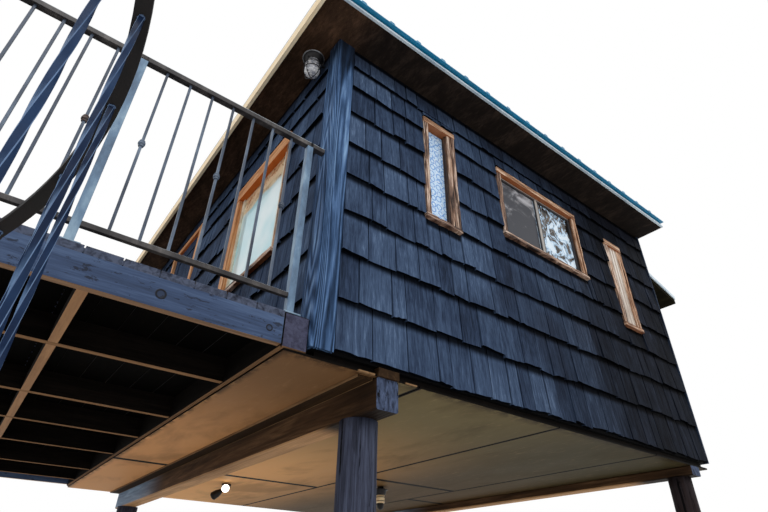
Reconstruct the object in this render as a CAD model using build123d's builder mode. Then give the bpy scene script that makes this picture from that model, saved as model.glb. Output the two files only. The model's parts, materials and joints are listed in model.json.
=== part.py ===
"""Raised timber cabin with a side deck, metal railing and a spiral stair, in millimetres, +Z up."""
import os
from itertools import accumulate
from math import cos, hypot, radians, sin

from build123d import *

os.makedirs("parts", exist_ok=True)

# cabin body
cabin_length = 3950.0
cabin_depth = 4877.0
wall_thickness = 120.0
wall_bottom = 2534.0
wall_top = 4928.0
corner_width = 110.0
corner_proud = 22.0

# floor platform
deck_surface = 2680.0
board_thickness = 36.0
floor_underside = 2484.0
frame_inset = 30.0
floor_joist_width = 40.0
floor_joist_count = 9
timber_width = 140.0
timber_easing = 8.0

# sheets that line the underside of the floor
sheet_thickness = 12.0
sheet_reach = 145.0
sheet_width = 1220.0
first_seam = 680.0
sheet_gap = 10.0
sheet_breaks = (2950.0, 3040.0, 2260.0, 3010.0)

# posts and beams under the cabin
beam_width = 140.0
beam_height = 165.0
beam_inset = 390.0
far_beam_height = 75.0
far_beam_inset = 160.0
post_radius = 110.0
far_post_radius = 100.0
post_setback = 250.0
far_post_setback = 150.0

# main roof
roof_eaves = 280.0
roof_left = 300.0
roof_right = 50.0
roof_body = 52.0
barge_thickness = 26.0
barge_height = 104.0
barge_joint = 3050.0
barge_gap = 3.0
pan_thickness = 9.0
rib_height = 18.0
rib_width = 56.0
rib_top_angle = 55.0
rib_pitch = 250.0
sheet_overhang = 30.0
drip_height = 38.0
drip_thickness = 10.0
hem_height = 10.0

# lean-to roof on the right wall
lean_reach = 520.0
lean_top = 4480.0
lean_fall = 140.0
lean_thickness = 70.0
lean_sheet = 18.0
verge_height = 40.0
ledger_height = 190.0
ledger_gap = 210.0

# window openings: width, height, place along the wall, sill height
narrow_width = 325.0
narrow_height = 986.0
narrow_left = 768.0
narrow_sill = 3677.0
far_width = 280.0
far_height = 950.0
far_margin = 520.0
far_sill = 3600.0
wide_width = 1095.0
wide_height = 715.0
wide_left = 1588.0
wide_sill = 3897.0
side_width = 950.0
side_height = 1100.0
side_near = 605.0
side_sill = 3400.0
trim_width = 55.0
trim_depth = 90.0
trim_proud = 28.0
sill_nose = 12.0
sill_height = 38.0
head_ear = 45.0
glass_thickness = 6.0
sash_width = 26.0
side_sash_width = 58.0

# door
door_width = 860.0
door_height = 2060.0
door_near = 2500.0
door_thickness = 44.0
door_stile = 120.0
door_sink = 8.0
lock_rail = 960.0
knob_height = 1020.0
turned_sides = 16
knob_steps = ((27.0, 8.0), (9.0, 38.0), (25.0, 26.0))

# side deck
deck_width = 2940.0
rim_height = 132.0
rim_thickness = 40.0
joist_width = 40.0
joist_gaps = (660.0, 870.0, 680.0, 715.0, 870.0, 670.0)
joist_clearance = 150.0
blocking_width = 42.0
blocking_height = 95.0
blocking_rows = (1012.0, 1800.0)
deck_beam_x = 2660.0
deck_post_radius = 90.0
deck_post_count = 3
board_width = 140.0
board_gap = 6.0

# deck railing
rail_setback = 50.0
rail_top = 3852.0
rail_height = 32.0
rail_width = 38.0
low_rail_bottom = 2780.0
low_rail_size = 25.0
rail_post = 38.0
picket = 16.0
picket_pitch = 122.5
knuckle_radius = 18.0
knuckle_half = 15.0
knuckle_height = 3312.0
bay_length = 980.0
first_post_x = 121.0
foot_plate = 90.0
foot_thickness = 8.0
side_bays = 5
back_bays = 3

# spiral stair
stair_x = 1896.0
stair_y = 969.0
stair_radius = 762.0
riser_count = 12
tread_angle = 30.0
last_nosing = 205.5
tread_plate = 8.0
tread_lip = 36.0
tread_inner = 40.0
hub_wall = 9.0
hub_height = 120.0
hub_sides = 12
pole_radius = 44.5
pole_top = 3860.0
pole_cap = 14.0
baluster = 19.0
baluster_angle = 15.0
handrail_width = 38.0
handrail_thickness = 12.0
handrail_over_nosing = 1055.0
landing_thickness = 60.0
landing_width = 860.0

# corner lamp and the lights under the floor
lamp_out = 112.0
lamp_y = 185.0
lamp_top = 4868.0
lamp_length = 225.0
lamp_steps = ((0.10, 0.0, 36.0), (0.15, 0.10, 70.0), (0.34, 0.15, 50.0), (0.92, 0.34, 43.0),
              (1.0, 0.92, 27.0))
arm_radius = 11.0
arm_sides = 8
arm_drop = 52.0
flood_x = 1090.0
flood_y = 3500.0
flood_base = 46.0
flood_head = 44.0
flood_length = 92.0
flood_tilt = 38.0
jar_lamp_x = 2370.0
jar_lamp_y = 2560.0

# worked out: levels, the placing over the middle of the footprint, and shared spans
rise = deck_surface / riser_count
board_bottom = deck_surface - board_thickness
frame_bottom = floor_underside + sheet_thickness
wall_height = wall_top - wall_bottom
roof_top = wall_top + roof_body
lean_start = cabin_length + corner_proud
left_end = -deck_width
right_end = cabin_length + lean_reach
front_end = -stair_y - stair_radius - handrail_width / 2
back_end = cabin_depth + roof_eaves + drip_thickness + sheet_overhang
x0 = -(left_end + right_end) / 2
y0 = -(front_end + back_end) / 2
frame_length = cabin_length - 2 * frame_inset
frame_depth = cabin_depth - 2 * frame_inset
inner_length = cabin_length - 2 * wall_thickness
inner_depth = cabin_depth - 2 * wall_thickness
mid_depth = Plane(origin=(0, y0 + cabin_depth / 2, 0), z_dir=(0, 1, 0))


def level(z):
    """Level sketch plane at a height, with its origin over the cabin's front left corner."""
    return Plane(origin=(x0, y0, z))


def along_x(y):
    """Upright sketch plane along the cabin's length at a depth; it faces the front."""
    return Plane(origin=(x0, y0 + y, 0), x_dir=(1, 0, 0), z_dir=(0, -1, 0))


def along_y(x):
    """Upright sketch plane along the cabin's depth at a distance x; it faces the lean-to."""
    return Plane(origin=(x0 + x, y0, 0), x_dir=(0, 1, 0), z_dir=(1, 0, 0))


def panel(left, bottom, width, height, mode=Mode.ADD):
    """Add a rectangle to the sketch by its low corner."""
    with Locations((left, bottom)):
        Rectangle(width, height, align=(Align.MIN, Align.MIN), mode=mode)


# log posts and the beams that lie on them
far_beam_x = cabin_length - far_beam_inset - beam_width
near_post_height = floor_underside - beam_height
far_post_height = floor_underside - far_beam_height
near_post_x = beam_inset + beam_width / 2
far_post_x = far_beam_x + beam_width / 2
with BuildPart() as house_posts:
    with BuildSketch(level(0)):
        with Locations((near_post_x, post_setback), (near_post_x, cabin_depth - post_setback)):
            Circle(post_radius)
    extrude(amount=near_post_height)
    with BuildSketch(level(0)):
        with Locations((far_post_x, far_post_setback), (far_post_x, cabin_depth - far_post_setback)):
            Circle(far_post_radius)
    extrude(amount=far_post_height)
house_posts.part.label = "house_posts"
export_step(house_posts.part, "parts/house_posts.step")

with BuildPart() as main_beams:
    with BuildSketch(along_x(0)):
        panel(beam_inset, near_post_height, beam_width, beam_height)
        panel(far_beam_x, far_post_height, beam_width, far_beam_height)
    extrude(amount=-cabin_depth)
    chamfer(main_beams.edges().filter_by(Axis.Y), timber_easing)
main_beams.part.label = "main_beams"
export_step(main_beams.part, "parts/main_beams.step")

# floor platform: joists within a rim, the sheets under them and the boards on them
cell = (frame_length - (floor_joist_count + 1) * floor_joist_width) / floor_joist_count
with BuildPart() as floor_frame:
    with BuildSketch(level(frame_bottom)):
        panel(frame_inset, frame_inset, frame_length, frame_depth)
        with Locations((cabin_length / 2, cabin_depth / 2)):
            with GridLocations(cell + floor_joist_width, frame_depth, floor_joist_count, 1):
                Rectangle(cell, frame_depth - 2 * floor_joist_width, mode=Mode.SUBTRACT)
    extrude(amount=board_bottom - frame_bottom)
floor_frame.part.label = "floor_frame"
export_step(floor_frame.part, "parts/floor_frame.step")

seams = [-sheet_reach, first_seam]
while seams[-1] + sheet_width < cabin_length:
    seams.append(seams[-1] + sheet_width)
seams.append(cabin_length + sheet_gap)
with BuildPart() as floor_soffit:
    with BuildSketch(level(floor_underside)):
        for index in range(len(seams) - 1):
            strip = seams[index + 1] - seams[index] - sheet_gap
            sheet_break = sheet_breaks[index % len(sheet_breaks)]
            panel(seams[index], 0, strip, sheet_break - sheet_gap)
            panel(seams[index], sheet_break, strip, cabin_depth - sheet_break)
    extrude(amount=sheet_thickness)
floor_soffit.part.label = "floor_soffit"
export_step(floor_soffit.part, "parts/floor_soffit.step")

with BuildPart() as floor_boards:
    with BuildSketch(level(board_bottom)):
        panel(wall_thickness, wall_thickness, inner_length, inner_depth)
    extrude(amount=board_thickness)
floor_boards.part.label = "floor_boards"
export_step(floor_boards.part, "parts/floor_boards.step")

timber_left = -corner_proud - timber_width
with BuildPart() as side_timber:
    with BuildSketch(along_x(0)):
        panel(timber_left, frame_bottom, timber_width, deck_surface - frame_bottom)
    extrude(amount=-cabin_depth)
    chamfer(side_timber.edges(), timber_easing)
side_timber.part.label = "side_timber"
export_step(side_timber.part, "parts/side_timber.step")

# openings by wall: start along the wall, sill height, width, height
near_narrow = (narrow_left, narrow_sill, narrow_width, narrow_height)
far_narrow = (cabin_length - far_margin - far_width, far_sill, far_width, far_height)
wide_opening = (wide_left, wide_sill, wide_width, wide_height)
side_opening = (side_near, side_sill, side_width, side_height)
right_height = side_height - 2 * lean_fall
right_opening = (cabin_depth - side_near - side_width, lean_top - ledger_height - ledger_gap - right_height,
                 side_width, right_height)
door_opening = (door_near, deck_surface, door_width, door_height)

# walls, rebated at the foot where they cover the floor's frame
rebate = board_bottom - wall_bottom
with BuildPart() as front_wall:
    with BuildSketch(along_x(0)):
        panel(0, wall_bottom, cabin_length, wall_height)
        for opening in (near_narrow, wide_opening, far_narrow):
            panel(*opening, mode=Mode.SUBTRACT)
    extrude(amount=-wall_thickness)
    with BuildSketch(along_x(frame_inset)):
        panel(frame_inset, wall_bottom, frame_length, rebate)
    extrude(amount=-wall_thickness, mode=Mode.SUBTRACT)
front_wall.part.label = "front_wall"
export_step(front_wall.part, "parts/front_wall.step")

with BuildPart() as back_wall:
    mirror(front_wall.part, about=mid_depth)
back_wall.part.label = "back_wall"
export_step(back_wall.part, "parts/back_wall.step")

with BuildPart() as left_wall:
    with BuildSketch(along_y(0)):
        panel(wall_thickness, wall_bottom, inner_depth, wall_height)
        for opening in (side_opening, door_opening):
            panel(*opening, mode=Mode.SUBTRACT)
    extrude(amount=wall_thickness)
    with BuildSketch(along_y(frame_inset)):
        panel(wall_thickness, wall_bottom, inner_depth, rebate)
    extrude(amount=wall_thickness, mode=Mode.SUBTRACT)
left_wall.part.label = "left_wall"
export_step(left_wall.part, "parts/left_wall.step")

with BuildPart() as right_wall:
    with BuildSketch(along_y(cabin_length)):
        panel(wall_thickness, wall_bottom, inner_depth, wall_height)
        panel(*right_opening, mode=Mode.SUBTRACT)
    extrude(amount=-wall_thickness)
    with BuildSketch(along_y(cabin_length - frame_inset)):
        panel(wall_thickness, wall_bottom, inner_depth, rebate)
    extrude(amount=-wall_thickness, mode=Mode.SUBTRACT)
right_wall.part.label = "right_wall"
export_step(right_wall.part, "parts/right_wall.step")

# corner boards: a pair at each deck-side corner, one on the lean-to side of the others
with BuildPart() as corner_boards:
    with BuildSketch(level(wall_bottom)):
        panel(-corner_proud, -corner_proud, corner_width + corner_proud, corner_proud)
        panel(-corner_proud, 0, corner_proud, corner_width)
        panel(cabin_length, -corner_proud, corner_proud, corner_width + corner_proud)
    extrude(amount=wall_height)
    mirror(about=mid_depth)
corner_boards.part.label = "corner_boards"
export_step(corner_boards.part, "parts/corner_boards.step")


def ring(plane, opening, width, depth):
    """Add a rectangular frame of that width, extruded from an upright plane by a signed depth."""
    left, sill, length, height = opening
    with BuildSketch(plane) as outline:
        panel(left, sill, length, height)
        panel(left + width, sill + width, length - 2 * width, height - 2 * width, Mode.SUBTRACT)
    extrude(outline.sketch, amount=depth)


def pane(plane, opening, margin, depth):
    """Add a sheet that fills an opening up to a margin, extruded by a signed depth."""
    left, sill, length, height = opening
    with BuildSketch(plane) as outline:
        panel(left + margin, sill + margin, length - 2 * margin, height - 2 * margin)
    extrude(outline.sketch, amount=depth)


def nose(plane, opening, depth):
    """Add the lip of a sill, which stands out from a frame's face by a signed depth."""
    with BuildSketch(plane) as outline:
        panel(opening[0], opening[1], opening[2], sill_height)
    extrude(outline.sketch, amount=depth)


# window frames
with BuildPart() as narrow_frames:
    for opening in (near_narrow, far_narrow):
        ring(along_x(-trim_proud), opening, trim_width, -trim_depth)
        nose(along_x(-trim_proud), opening, sill_nose)
    mirror(about=mid_depth)
narrow_frames.part.label = "narrow_frames"
export_step(narrow_frames.part, "parts/narrow_frames.step")

with BuildPart() as wide_frames:
    ring(along_x(-trim_proud), wide_opening, trim_width, -trim_depth)
    nose(along_x(-trim_proud), wide_opening, sill_nose)
    mirror(about=mid_depth)
wide_frames.part.label = "wide_frames"
export_step(wide_frames.part, "parts/wide_frames.step")

with BuildPart() as side_frames:
    for face, opening, inwards in ((-trim_proud, side_opening, 1),
                                   (cabin_length + trim_proud, right_opening, -1)):
        ring(along_y(face), opening, trim_width, inwards * trim_depth)
        nose(along_y(face), opening, -inwards * sill_nose)
        with BuildSketch(along_y(face)):
            for end in (opening[0] - head_ear, opening[0] + opening[2]):
                panel(end, opening[1] + opening[3] - trim_width, head_ear, trim_width)
        extrude(amount=inwards * trim_proud)
side_frames.part.label = "side_frames"
export_step(side_frames.part, "parts/side_frames.step")

# panes and sashes, set back in their frames
glass_back = trim_depth - trim_proud - sash_width
with BuildPart() as narrow_glass:
    for opening in (near_narrow, far_narrow):
        pane(along_x(glass_back), opening, trim_width, -glass_thickness)
    mirror(about=mid_depth)
narrow_glass.part.label = "narrow_glass"
export_step(narrow_glass.part, "parts/narrow_glass.step")

half_width = wide_width / 2 - trim_width
half_height = wide_height - 2 * trim_width
halves = [(wide_left + trim_width + half * half_width, wide_sill + trim_width, half_width, half_height)
          for half in (0, 1)]
with BuildPart() as wide_sashes:
    for half in halves:
        ring(along_x(glass_back), half, sash_width, sash_width)
    mirror(about=mid_depth)
wide_sashes.part.label = "wide_sashes"
export_step(wide_sashes.part, "parts/wide_sashes.step")

with BuildPart() as wide_glass:
    for half in halves:
        pane(along_x(glass_back - sash_width / 2), half, sash_width, -glass_thickness)
    mirror(about=mid_depth)
wide_glass.part.label = "wide_glass"
export_step(wide_glass.part, "parts/wide_glass.step")

side_windows = ((glass_back, side_opening, 1), (cabin_length - glass_back, right_opening, -1))
with BuildPart() as side_sashes:
    for face, opening, inwards in side_windows:
        left, sill, length, height = opening
        sash = (left + trim_width, sill + trim_width, length - 2 * trim_width, height - 2 * trim_width)
        ring(along_y(face), sash, side_sash_width, -inwards * sash_width)
side_sashes.part.label = "side_sashes"
export_step(side_sashes.part, "parts/side_sashes.step")

with BuildPart() as side_glass:
    for face, opening, inwards in side_windows:
        pane(along_y(face - inwards * sash_width / 2), opening, trim_width + side_sash_width,
             inwards * glass_thickness)
side_glass.part.label = "side_glass"
export_step(side_glass.part, "parts/side_glass.step")

# door in the deck-side wall: a frame without a sill and a leaf with two sunk panels and a knob
leaf_left = door_near + trim_width
leaf_width = door_width - 2 * trim_width
leaf_height = door_height - trim_width
with BuildPart() as door_frame:
    with BuildSketch(along_y(-trim_proud)):
        panel(*door_opening)
        panel(leaf_left, deck_surface, leaf_width, leaf_height, Mode.SUBTRACT)
    extrude(amount=trim_depth)
door_frame.part.label = "door_frame"
export_step(door_frame.part, "parts/door_frame.step")

panel_width = leaf_width - 2 * door_stile
with BuildPart() as door_leaf:
    with BuildSketch(along_y(0)):
        panel(leaf_left, deck_surface, leaf_width, leaf_height)
    extrude(amount=door_thickness)
    with BuildSketch(along_y(0)):
        panel(leaf_left + door_stile, deck_surface + door_stile, panel_width, lock_rail - 2 * door_stile)
        panel(leaf_left + door_stile, deck_surface + lock_rail + door_stile, panel_width,
              leaf_height - lock_rail - 2 * door_stile)
    extrude(amount=door_sink, mode=Mode.SUBTRACT)
    knob_face = 0
    for radius, length in knob_steps:
        with BuildSketch(along_y(knob_face)):
            with Locations((leaf_left + door_stile / 2, deck_surface + knob_height)):
                RegularPolygon(radius, turned_sides)
        extrude(amount=-length)
        knob_face -= length
door_leaf.part.label = "door_leaf"
export_step(door_leaf.part, "parts/door_leaf.step")

# main roof: a flat slab with barge boards over the deck, under a ribbed sheet with drip edges
roof_length = cabin_length + roof_left + roof_right
roof_depth = cabin_depth + 2 * roof_eaves
with BuildPart() as roof_body_slab:
    with BuildSketch(level(wall_top)):
        panel(barge_thickness - roof_left, -roof_eaves, roof_length - barge_thickness, roof_depth)
    extrude(amount=roof_body)
roof_body_slab.part.label = "roof_body"
export_step(roof_body_slab.part, "parts/roof_body.step")

with BuildPart() as barge_boards:
    with BuildSketch(along_y(-roof_left)):
        panel(-roof_eaves, roof_top - barge_height, barge_joint - barge_gap, barge_height)
        panel(barge_joint - roof_eaves, roof_top - barge_height, roof_depth - barge_joint, barge_height)
    extrude(amount=barge_thickness)
barge_boards.part.label = "barge_boards"
export_step(barge_boards.part, "parts/barge_boards.step")

rib_count = int((roof_length - rib_width) / rib_pitch) + 1
sheet_front = -roof_eaves - drip_thickness - sheet_overhang
with BuildPart() as roof_sheet:
    with BuildSketch(along_x(sheet_front)):
        panel(-roof_left, roof_top, roof_length, pan_thickness)
        for index in range(rib_count):
            with Locations((rib_width / 2 - roof_left + index * rib_pitch, roof_top + pan_thickness)):
                Trapezoid(rib_width, rib_height, rib_top_angle, align=(Align.CENTER, Align.MIN))
    extrude(amount=2 * sheet_front - cabin_depth)
roof_sheet.part.label = "roof_sheet"
export_step(roof_sheet.part, "parts/roof_sheet.step")


def lean_strip(top, bottom):
    """Add the sloped outline of the lean-to between two heights above its top face at the wall."""
    with BuildLine() as outline:
        Polyline((lean_start, lean_top + top), (right_end, lean_top - lean_fall + top),
                 (right_end, lean_top - lean_fall + bottom), (lean_start, lean_top + bottom), close=True)
    make_face(outline.edges())


# drip edges of the main roof, and the verge strips of the lean-to
with BuildPart() as roof_drip:
    with BuildSketch(along_y(-roof_left)):
        panel(-roof_eaves - drip_thickness, wall_top, drip_thickness, drip_height)
        panel(-roof_eaves - 2 * drip_thickness, wall_top, drip_thickness, hem_height)
    extrude(amount=roof_length)
    with BuildSketch(along_x(0)):
        lean_strip(lean_sheet, lean_sheet - verge_height)
    extrude(amount=drip_thickness)
    mirror(about=mid_depth)
roof_drip.part.label = "roof_drip"
export_step(roof_drip.part, "parts/roof_drip.step")

# lean-to roof with the ledger that carries it along the wall
with BuildPart() as lean_to_roof:
    with BuildSketch(along_x(0)):
        lean_strip(0, -lean_thickness)
    extrude(amount=-cabin_depth)
    with BuildSketch(along_x(corner_width)):
        panel(cabin_length, lean_top - ledger_height, corner_proud, ledger_height)
    extrude(amount=2 * corner_width - cabin_depth)
lean_to_roof.part.label = "lean_to_roof"
export_step(lean_to_roof.part, "parts/lean_to_roof.step")

with BuildPart() as lean_to_sheet:
    with BuildSketch(along_x(0)):
        lean_strip(lean_sheet, 0)
    extrude(amount=-cabin_depth)
lean_to_sheet.part.label = "lean_to_sheet"
export_step(lean_to_sheet.part, "parts/lean_to_sheet.step")

# side deck: rim on three sides, joists, blocking, boards, and a beam on posts at the far side
deck_left = -deck_width
joist_bottom = board_bottom - rim_height
rim_length = deck_width + timber_left
with BuildPart() as deck_rim:
    with BuildSketch(level(joist_bottom)):
        panel(deck_left, 0, rim_length, cabin_depth)
        panel(deck_left + rim_thickness, rim_thickness, rim_length, cabin_depth - 2 * rim_thickness,
              Mode.SUBTRACT)
    extrude(amount=rim_height)
deck_rim.part.label = "deck_rim"
export_step(deck_rim.part, "parts/deck_rim.step")

joist_ys = [y for y in accumulate(joist_gaps) if y + joist_clearance < cabin_depth]
with BuildPart() as deck_joists:
    with BuildSketch(level(joist_bottom)):
        for joist_y in joist_ys:
            panel(deck_left + rim_thickness, joist_y, rim_length - rim_thickness, joist_width)
    extrude(amount=rim_height)
deck_joists.part.label = "deck_joists"
export_step(deck_joists.part, "parts/deck_joists.step")

bay_starts = [rim_thickness] + [joist_y + joist_width for joist_y in joist_ys]
bay_ends = joist_ys + [cabin_depth - rim_thickness]
with BuildPart() as deck_blocking:
    with BuildSketch(level(joist_bottom)):
        for row in blocking_rows:
            for start, end in zip(bay_starts, bay_ends):
                panel(-row, start, blocking_width, end - start)
    extrude(amount=blocking_height)
deck_blocking.part.label = "deck_blocking"
export_step(deck_blocking.part, "parts/deck_blocking.step")

board_count = round((rim_length + board_gap) / (board_width + board_gap))
board_pitch = (rim_length + board_gap) / board_count
with BuildPart() as deck_boards:
    with BuildSketch(level(board_bottom)):
        for index in range(board_count):
            panel(deck_left + index * board_pitch, 0, board_pitch - board_gap, cabin_depth)
    extrude(amount=board_thickness)
deck_boards.part.label = "deck_boards"
export_step(deck_boards.part, "parts/deck_boards.step")

deck_post_height = joist_bottom - beam_height
with BuildPart() as deck_beam:
    with BuildSketch(along_x(0)):
        panel(-deck_beam_x - beam_width / 2, deck_post_height, beam_width, beam_height)
    extrude(amount=-cabin_depth)
    chamfer(deck_beam.edges().filter_by(Axis.Y), timber_easing)
deck_beam.part.label = "deck_beam"
export_step(deck_beam.part, "parts/deck_beam.step")

deck_post_step = (cabin_depth - 2 * post_setback) / (deck_post_count - 1)
with BuildPart() as deck_posts:
    for index in range(deck_post_count):
        with Locations((x0 - deck_beam_x, y0 + post_setback + index * deck_post_step, 0)):
            Cylinder(deck_post_radius, deck_post_height, align=(Align.CENTER, Align.CENTER, Align.MIN))
deck_posts.part.label = "deck_posts"
export_step(deck_posts.part, "parts/deck_posts.step")


def rail_posts(*centres):
    """Add square railing posts on foot plates, up to the underside of the top rail."""
    with BuildSketch(level(deck_surface)) as posts:
        with Locations(*centres):
            Rectangle(rail_post, rail_post)
    extrude(posts.sketch, amount=rail_top - rail_height - deck_surface)
    with BuildSketch(level(deck_surface)) as plates:
        with Locations(*centres):
            Rectangle(foot_plate, foot_plate)
    extrude(plates.sketch, amount=foot_thickness)


def rail_run(start, end):
    """Add pickets with collars, a low rail and a top rail that covers the first of two posts."""
    span = hypot(end[0] - start[0], end[1] - start[1])
    run = ((end[0] - start[0]) / span, (end[1] - start[1]) / span)
    bay = Plane(origin=(x0 + start[0], y0 + start[1], 0), x_dir=(*run, 0), z_dir=(run[1], -run[0], 0))
    count = max(1, round(span / picket_pitch) - 1)
    pitch = span / (count + 1)
    with BuildSketch(bay) as pickets:
        for index in range(count):
            panel((index + 1) * pitch - picket / 2, low_rail_bottom, picket,
                  rail_top - rail_height - low_rail_bottom)
    extrude(pickets.sketch, amount=picket / 2, both=True)
    with BuildSketch(bay) as low_rail:
        panel(0, low_rail_bottom, span, low_rail_size)
    extrude(low_rail.sketch, amount=low_rail_size / 2, both=True)
    with BuildSketch(bay) as top_rail:
        panel(-rail_width / 2, rail_top - rail_height, span + rail_width / 2, rail_height)
    extrude(top_rail.sketch, amount=rail_width / 2, both=True)
    with BuildSketch(level(knuckle_height)) as collars:
        for index in range(1, count + 1, 3):
            with Locations((start[0] + run[0] * index * pitch, start[1] + run[1] * index * pitch)):
                RegularPolygon(knuckle_radius, 8)
    extrude(collars.sketch, amount=knuckle_half, both=True)


def rail_stub(y):
    """Add the end of a top rail, from the first post to the corner board."""
    with BuildSketch(along_x(y)) as stub:
        panel(-first_post_x, rail_top - rail_height, first_post_x - corner_proud, rail_height)
    extrude(stub.sketch, amount=rail_width / 2, both=True)


# railing on the open sides of the deck
rail_left_x = deck_left + rail_setback
back_rail_y = cabin_depth - rail_setback
front_posts = [(-first_post_x - index * bay_length, rail_setback) for index in range(3)]
with BuildPart() as rail_front:
    rail_posts(*front_posts)
    rail_run(front_posts[1], front_posts[0])
    rail_run(front_posts[2], front_posts[1])
    rail_stub(rail_setback)
rail_front.part.label = "rail_front"
export_step(rail_front.part, "parts/rail_front.step")

side_pitch = (back_rail_y - rail_setback) / side_bays
side_posts = [(rail_left_x, rail_setback + index * side_pitch) for index in range(side_bays + 1)]
with BuildPart() as rail_side:
    rail_posts(*side_posts)
    for start, end in zip(side_posts, side_posts[1:]):
        rail_run(start, end)
rail_side.part.label = "rail_side"
export_step(rail_side.part, "parts/rail_side.step")

back_pitch = (-first_post_x - rail_left_x) / back_bays
back_posts = [(rail_left_x + index * back_pitch, back_rail_y) for index in range(back_bays + 1)]
with BuildPart() as rail_back:
    rail_posts(*back_posts[1:])
    for start, end in zip(back_posts, back_posts[1:]):
        rail_run(start, end)
    rail_stub(back_rail_y)
    add(rail_side.part, mode=Mode.SUBTRACT)
rail_back.part.label = "rail_back"
export_step(rail_back.part, "parts/rail_back.step")

# spiral stair about its pole
pole_x = -stair_x
pole_y = -stair_y
tread_outer = stair_radius - baluster / 2
turn = (riser_count - 1) * tread_angle
base_angle = last_nosing + turn


def polar(angle, radius):
    """Point on a level sketch plane, by its angle and distance from the pole."""
    return (pole_x + radius * cos(radians(angle)), pole_y + radius * sin(radians(angle)))


def wedge(nosing, inner, outer):
    """Add a tread's outline, with corners where its balusters stand."""
    with BuildLine() as outline:
        Polyline(polar(nosing, inner), polar(nosing, outer),
                 polar(nosing - baluster_angle / 2, outer),
                 polar(nosing - tread_angle + baluster_angle / 2, outer),
                 polar(nosing - tread_angle, outer),
                 polar(nosing - tread_angle, inner), close=True)
    make_face(outline.edges())


with BuildPart() as stair_pole:
    with BuildSketch(level(0)):
        with Locations((pole_x, pole_y)):
            Circle(pole_radius)
    extrude(amount=pole_top)
    with BuildSketch(level(0)):
        with Locations((pole_x, pole_y)):
            RegularPolygon(2 * foot_plate, 4, rotation=45)
    extrude(amount=2 * foot_thickness)
    with BuildSketch(level(pole_top)):
        with Locations((pole_x, pole_y)):
            Circle(pole_radius + hub_wall)
    extrude(amount=pole_cap)
stair_pole.part.label = "stair_pole"
export_step(stair_pole.part, "parts/stair_pole.step")

# each tread is a plate with a turned-down lip, on a hub that sleeves the pole
with BuildPart() as stair_treads:
    for index in range(1, riser_count):
        nosing = base_angle - (index - 1) * tread_angle
        top = index * rise
        with BuildSketch(level(top - tread_lip)):
            wedge(nosing, tread_inner, tread_outer)
        extrude(amount=tread_lip)
        with BuildSketch(level(top - tread_lip)) as pan:
            wedge(nosing, pole_radius + 2 * hub_wall, tread_outer)
            offset(amount=-tread_plate, mode=Mode.REPLACE)
        extrude(amount=tread_lip - tread_plate, mode=Mode.SUBTRACT)
        with BuildSketch(level(top - hub_height)):
            with Locations((pole_x, pole_y)):
                RegularPolygon(pole_radius + hub_wall, hub_sides)
        extrude(amount=hub_height)
    with BuildSketch(level(0)):
        with Locations((pole_x, pole_y)):
            Circle(pole_radius)
    extrude(amount=pole_top, mode=Mode.SUBTRACT)
stair_treads.part.label = "stair_treads"
export_step(stair_treads.part, "parts/stair_treads.step")

landing_left = pole_x - landing_width
with BuildPart() as stair_landing:
    with BuildSketch(level(deck_surface - landing_thickness)):
        panel(landing_left, pole_y, landing_width, stair_y)
        with BuildLine():
            Polyline(polar(last_nosing, tread_inner), polar(last_nosing, tread_outer),
                     polar(last_nosing - tread_angle, landing_width),
                     polar(last_nosing - tread_angle, tread_inner), close=True)
        make_face()
        with Locations((pole_x, pole_y)):
            Circle(pole_radius + hub_wall)
            Circle(pole_radius, mode=Mode.SUBTRACT)
    extrude(amount=landing_thickness)
stair_landing.part.label = "stair_landing"
export_step(stair_landing.part, "parts/stair_landing.step")

# handrail: a flat bar swept up a left-hand helix over the balusters
rail_slope = rise / tread_angle
handrail_start = handrail_over_nosing + rise
with BuildPart() as stair_handrail:
    with BuildLine(Plane((x0 + pole_x, y0 + pole_y, handrail_start))):
        rail_path = Helix(pitch=rise * 360 / tread_angle, height=turn * rail_slope, radius=stair_radius,
                          lefthand=True)
    with BuildSketch(Plane(origin=rail_path @ 0, x_dir=(1, 0, 0), z_dir=rail_path % 0)):
        Rectangle(handrail_width, handrail_thickness)
    sweep(path=rail_path, is_frenet=True)
to_pole = Location((x0 + pole_x, y0 + pole_y, 0))
stair_handrail.part = to_pole * Rotation(0, 0, base_angle) * to_pole.inverse() * stair_handrail.part
stair_handrail.part.label = "stair_handrail"
export_step(stair_handrail.part, "parts/stair_handrail.step")

with BuildPart() as stair_balusters:
    for index in range(int(turn / baluster_angle)):
        angle = base_angle - (index + 0.5) * baluster_angle
        tread = int(index * baluster_angle / tread_angle) + 1
        foot = tread * rise - tread_lip
        head = handrail_start + (base_angle - angle) * rail_slope
        with BuildSketch(level(foot)):
            with Locations(polar(angle, stair_radius)):
                Rectangle(baluster, baluster, rotation=angle)
        extrude(amount=head - foot)
    add(stair_handrail.part, mode=Mode.SUBTRACT)
stair_balusters.part.label = "stair_balusters"
export_step(stair_balusters.part, "parts/stair_balusters.step")

# guard on the two open sides of the landing
landing_entry = (pole_x + tread_outer * cos(radians(last_nosing)) + rail_post,
                 pole_y + tread_outer * sin(radians(last_nosing)) + rail_post)
landing_bend = (landing_left + rail_setback, pole_y)
landing_end = (landing_left + rail_setback, -rail_setback)
with BuildPart() as landing_guard:
    rail_posts(landing_bend, landing_end)
    rail_run(landing_end, landing_bend)
landing_guard.part.label = "landing_guard"
export_step(landing_guard.part, "parts/landing_guard.step")

with BuildPart() as landing_guard_end:
    rail_posts(landing_entry)
    rail_run(landing_entry, landing_bend)
    add(landing_guard.part, mode=Mode.SUBTRACT)
landing_guard_end.part.label = "landing_guard_end"
export_step(landing_guard_end.part, "parts/landing_guard_end.step")


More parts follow.
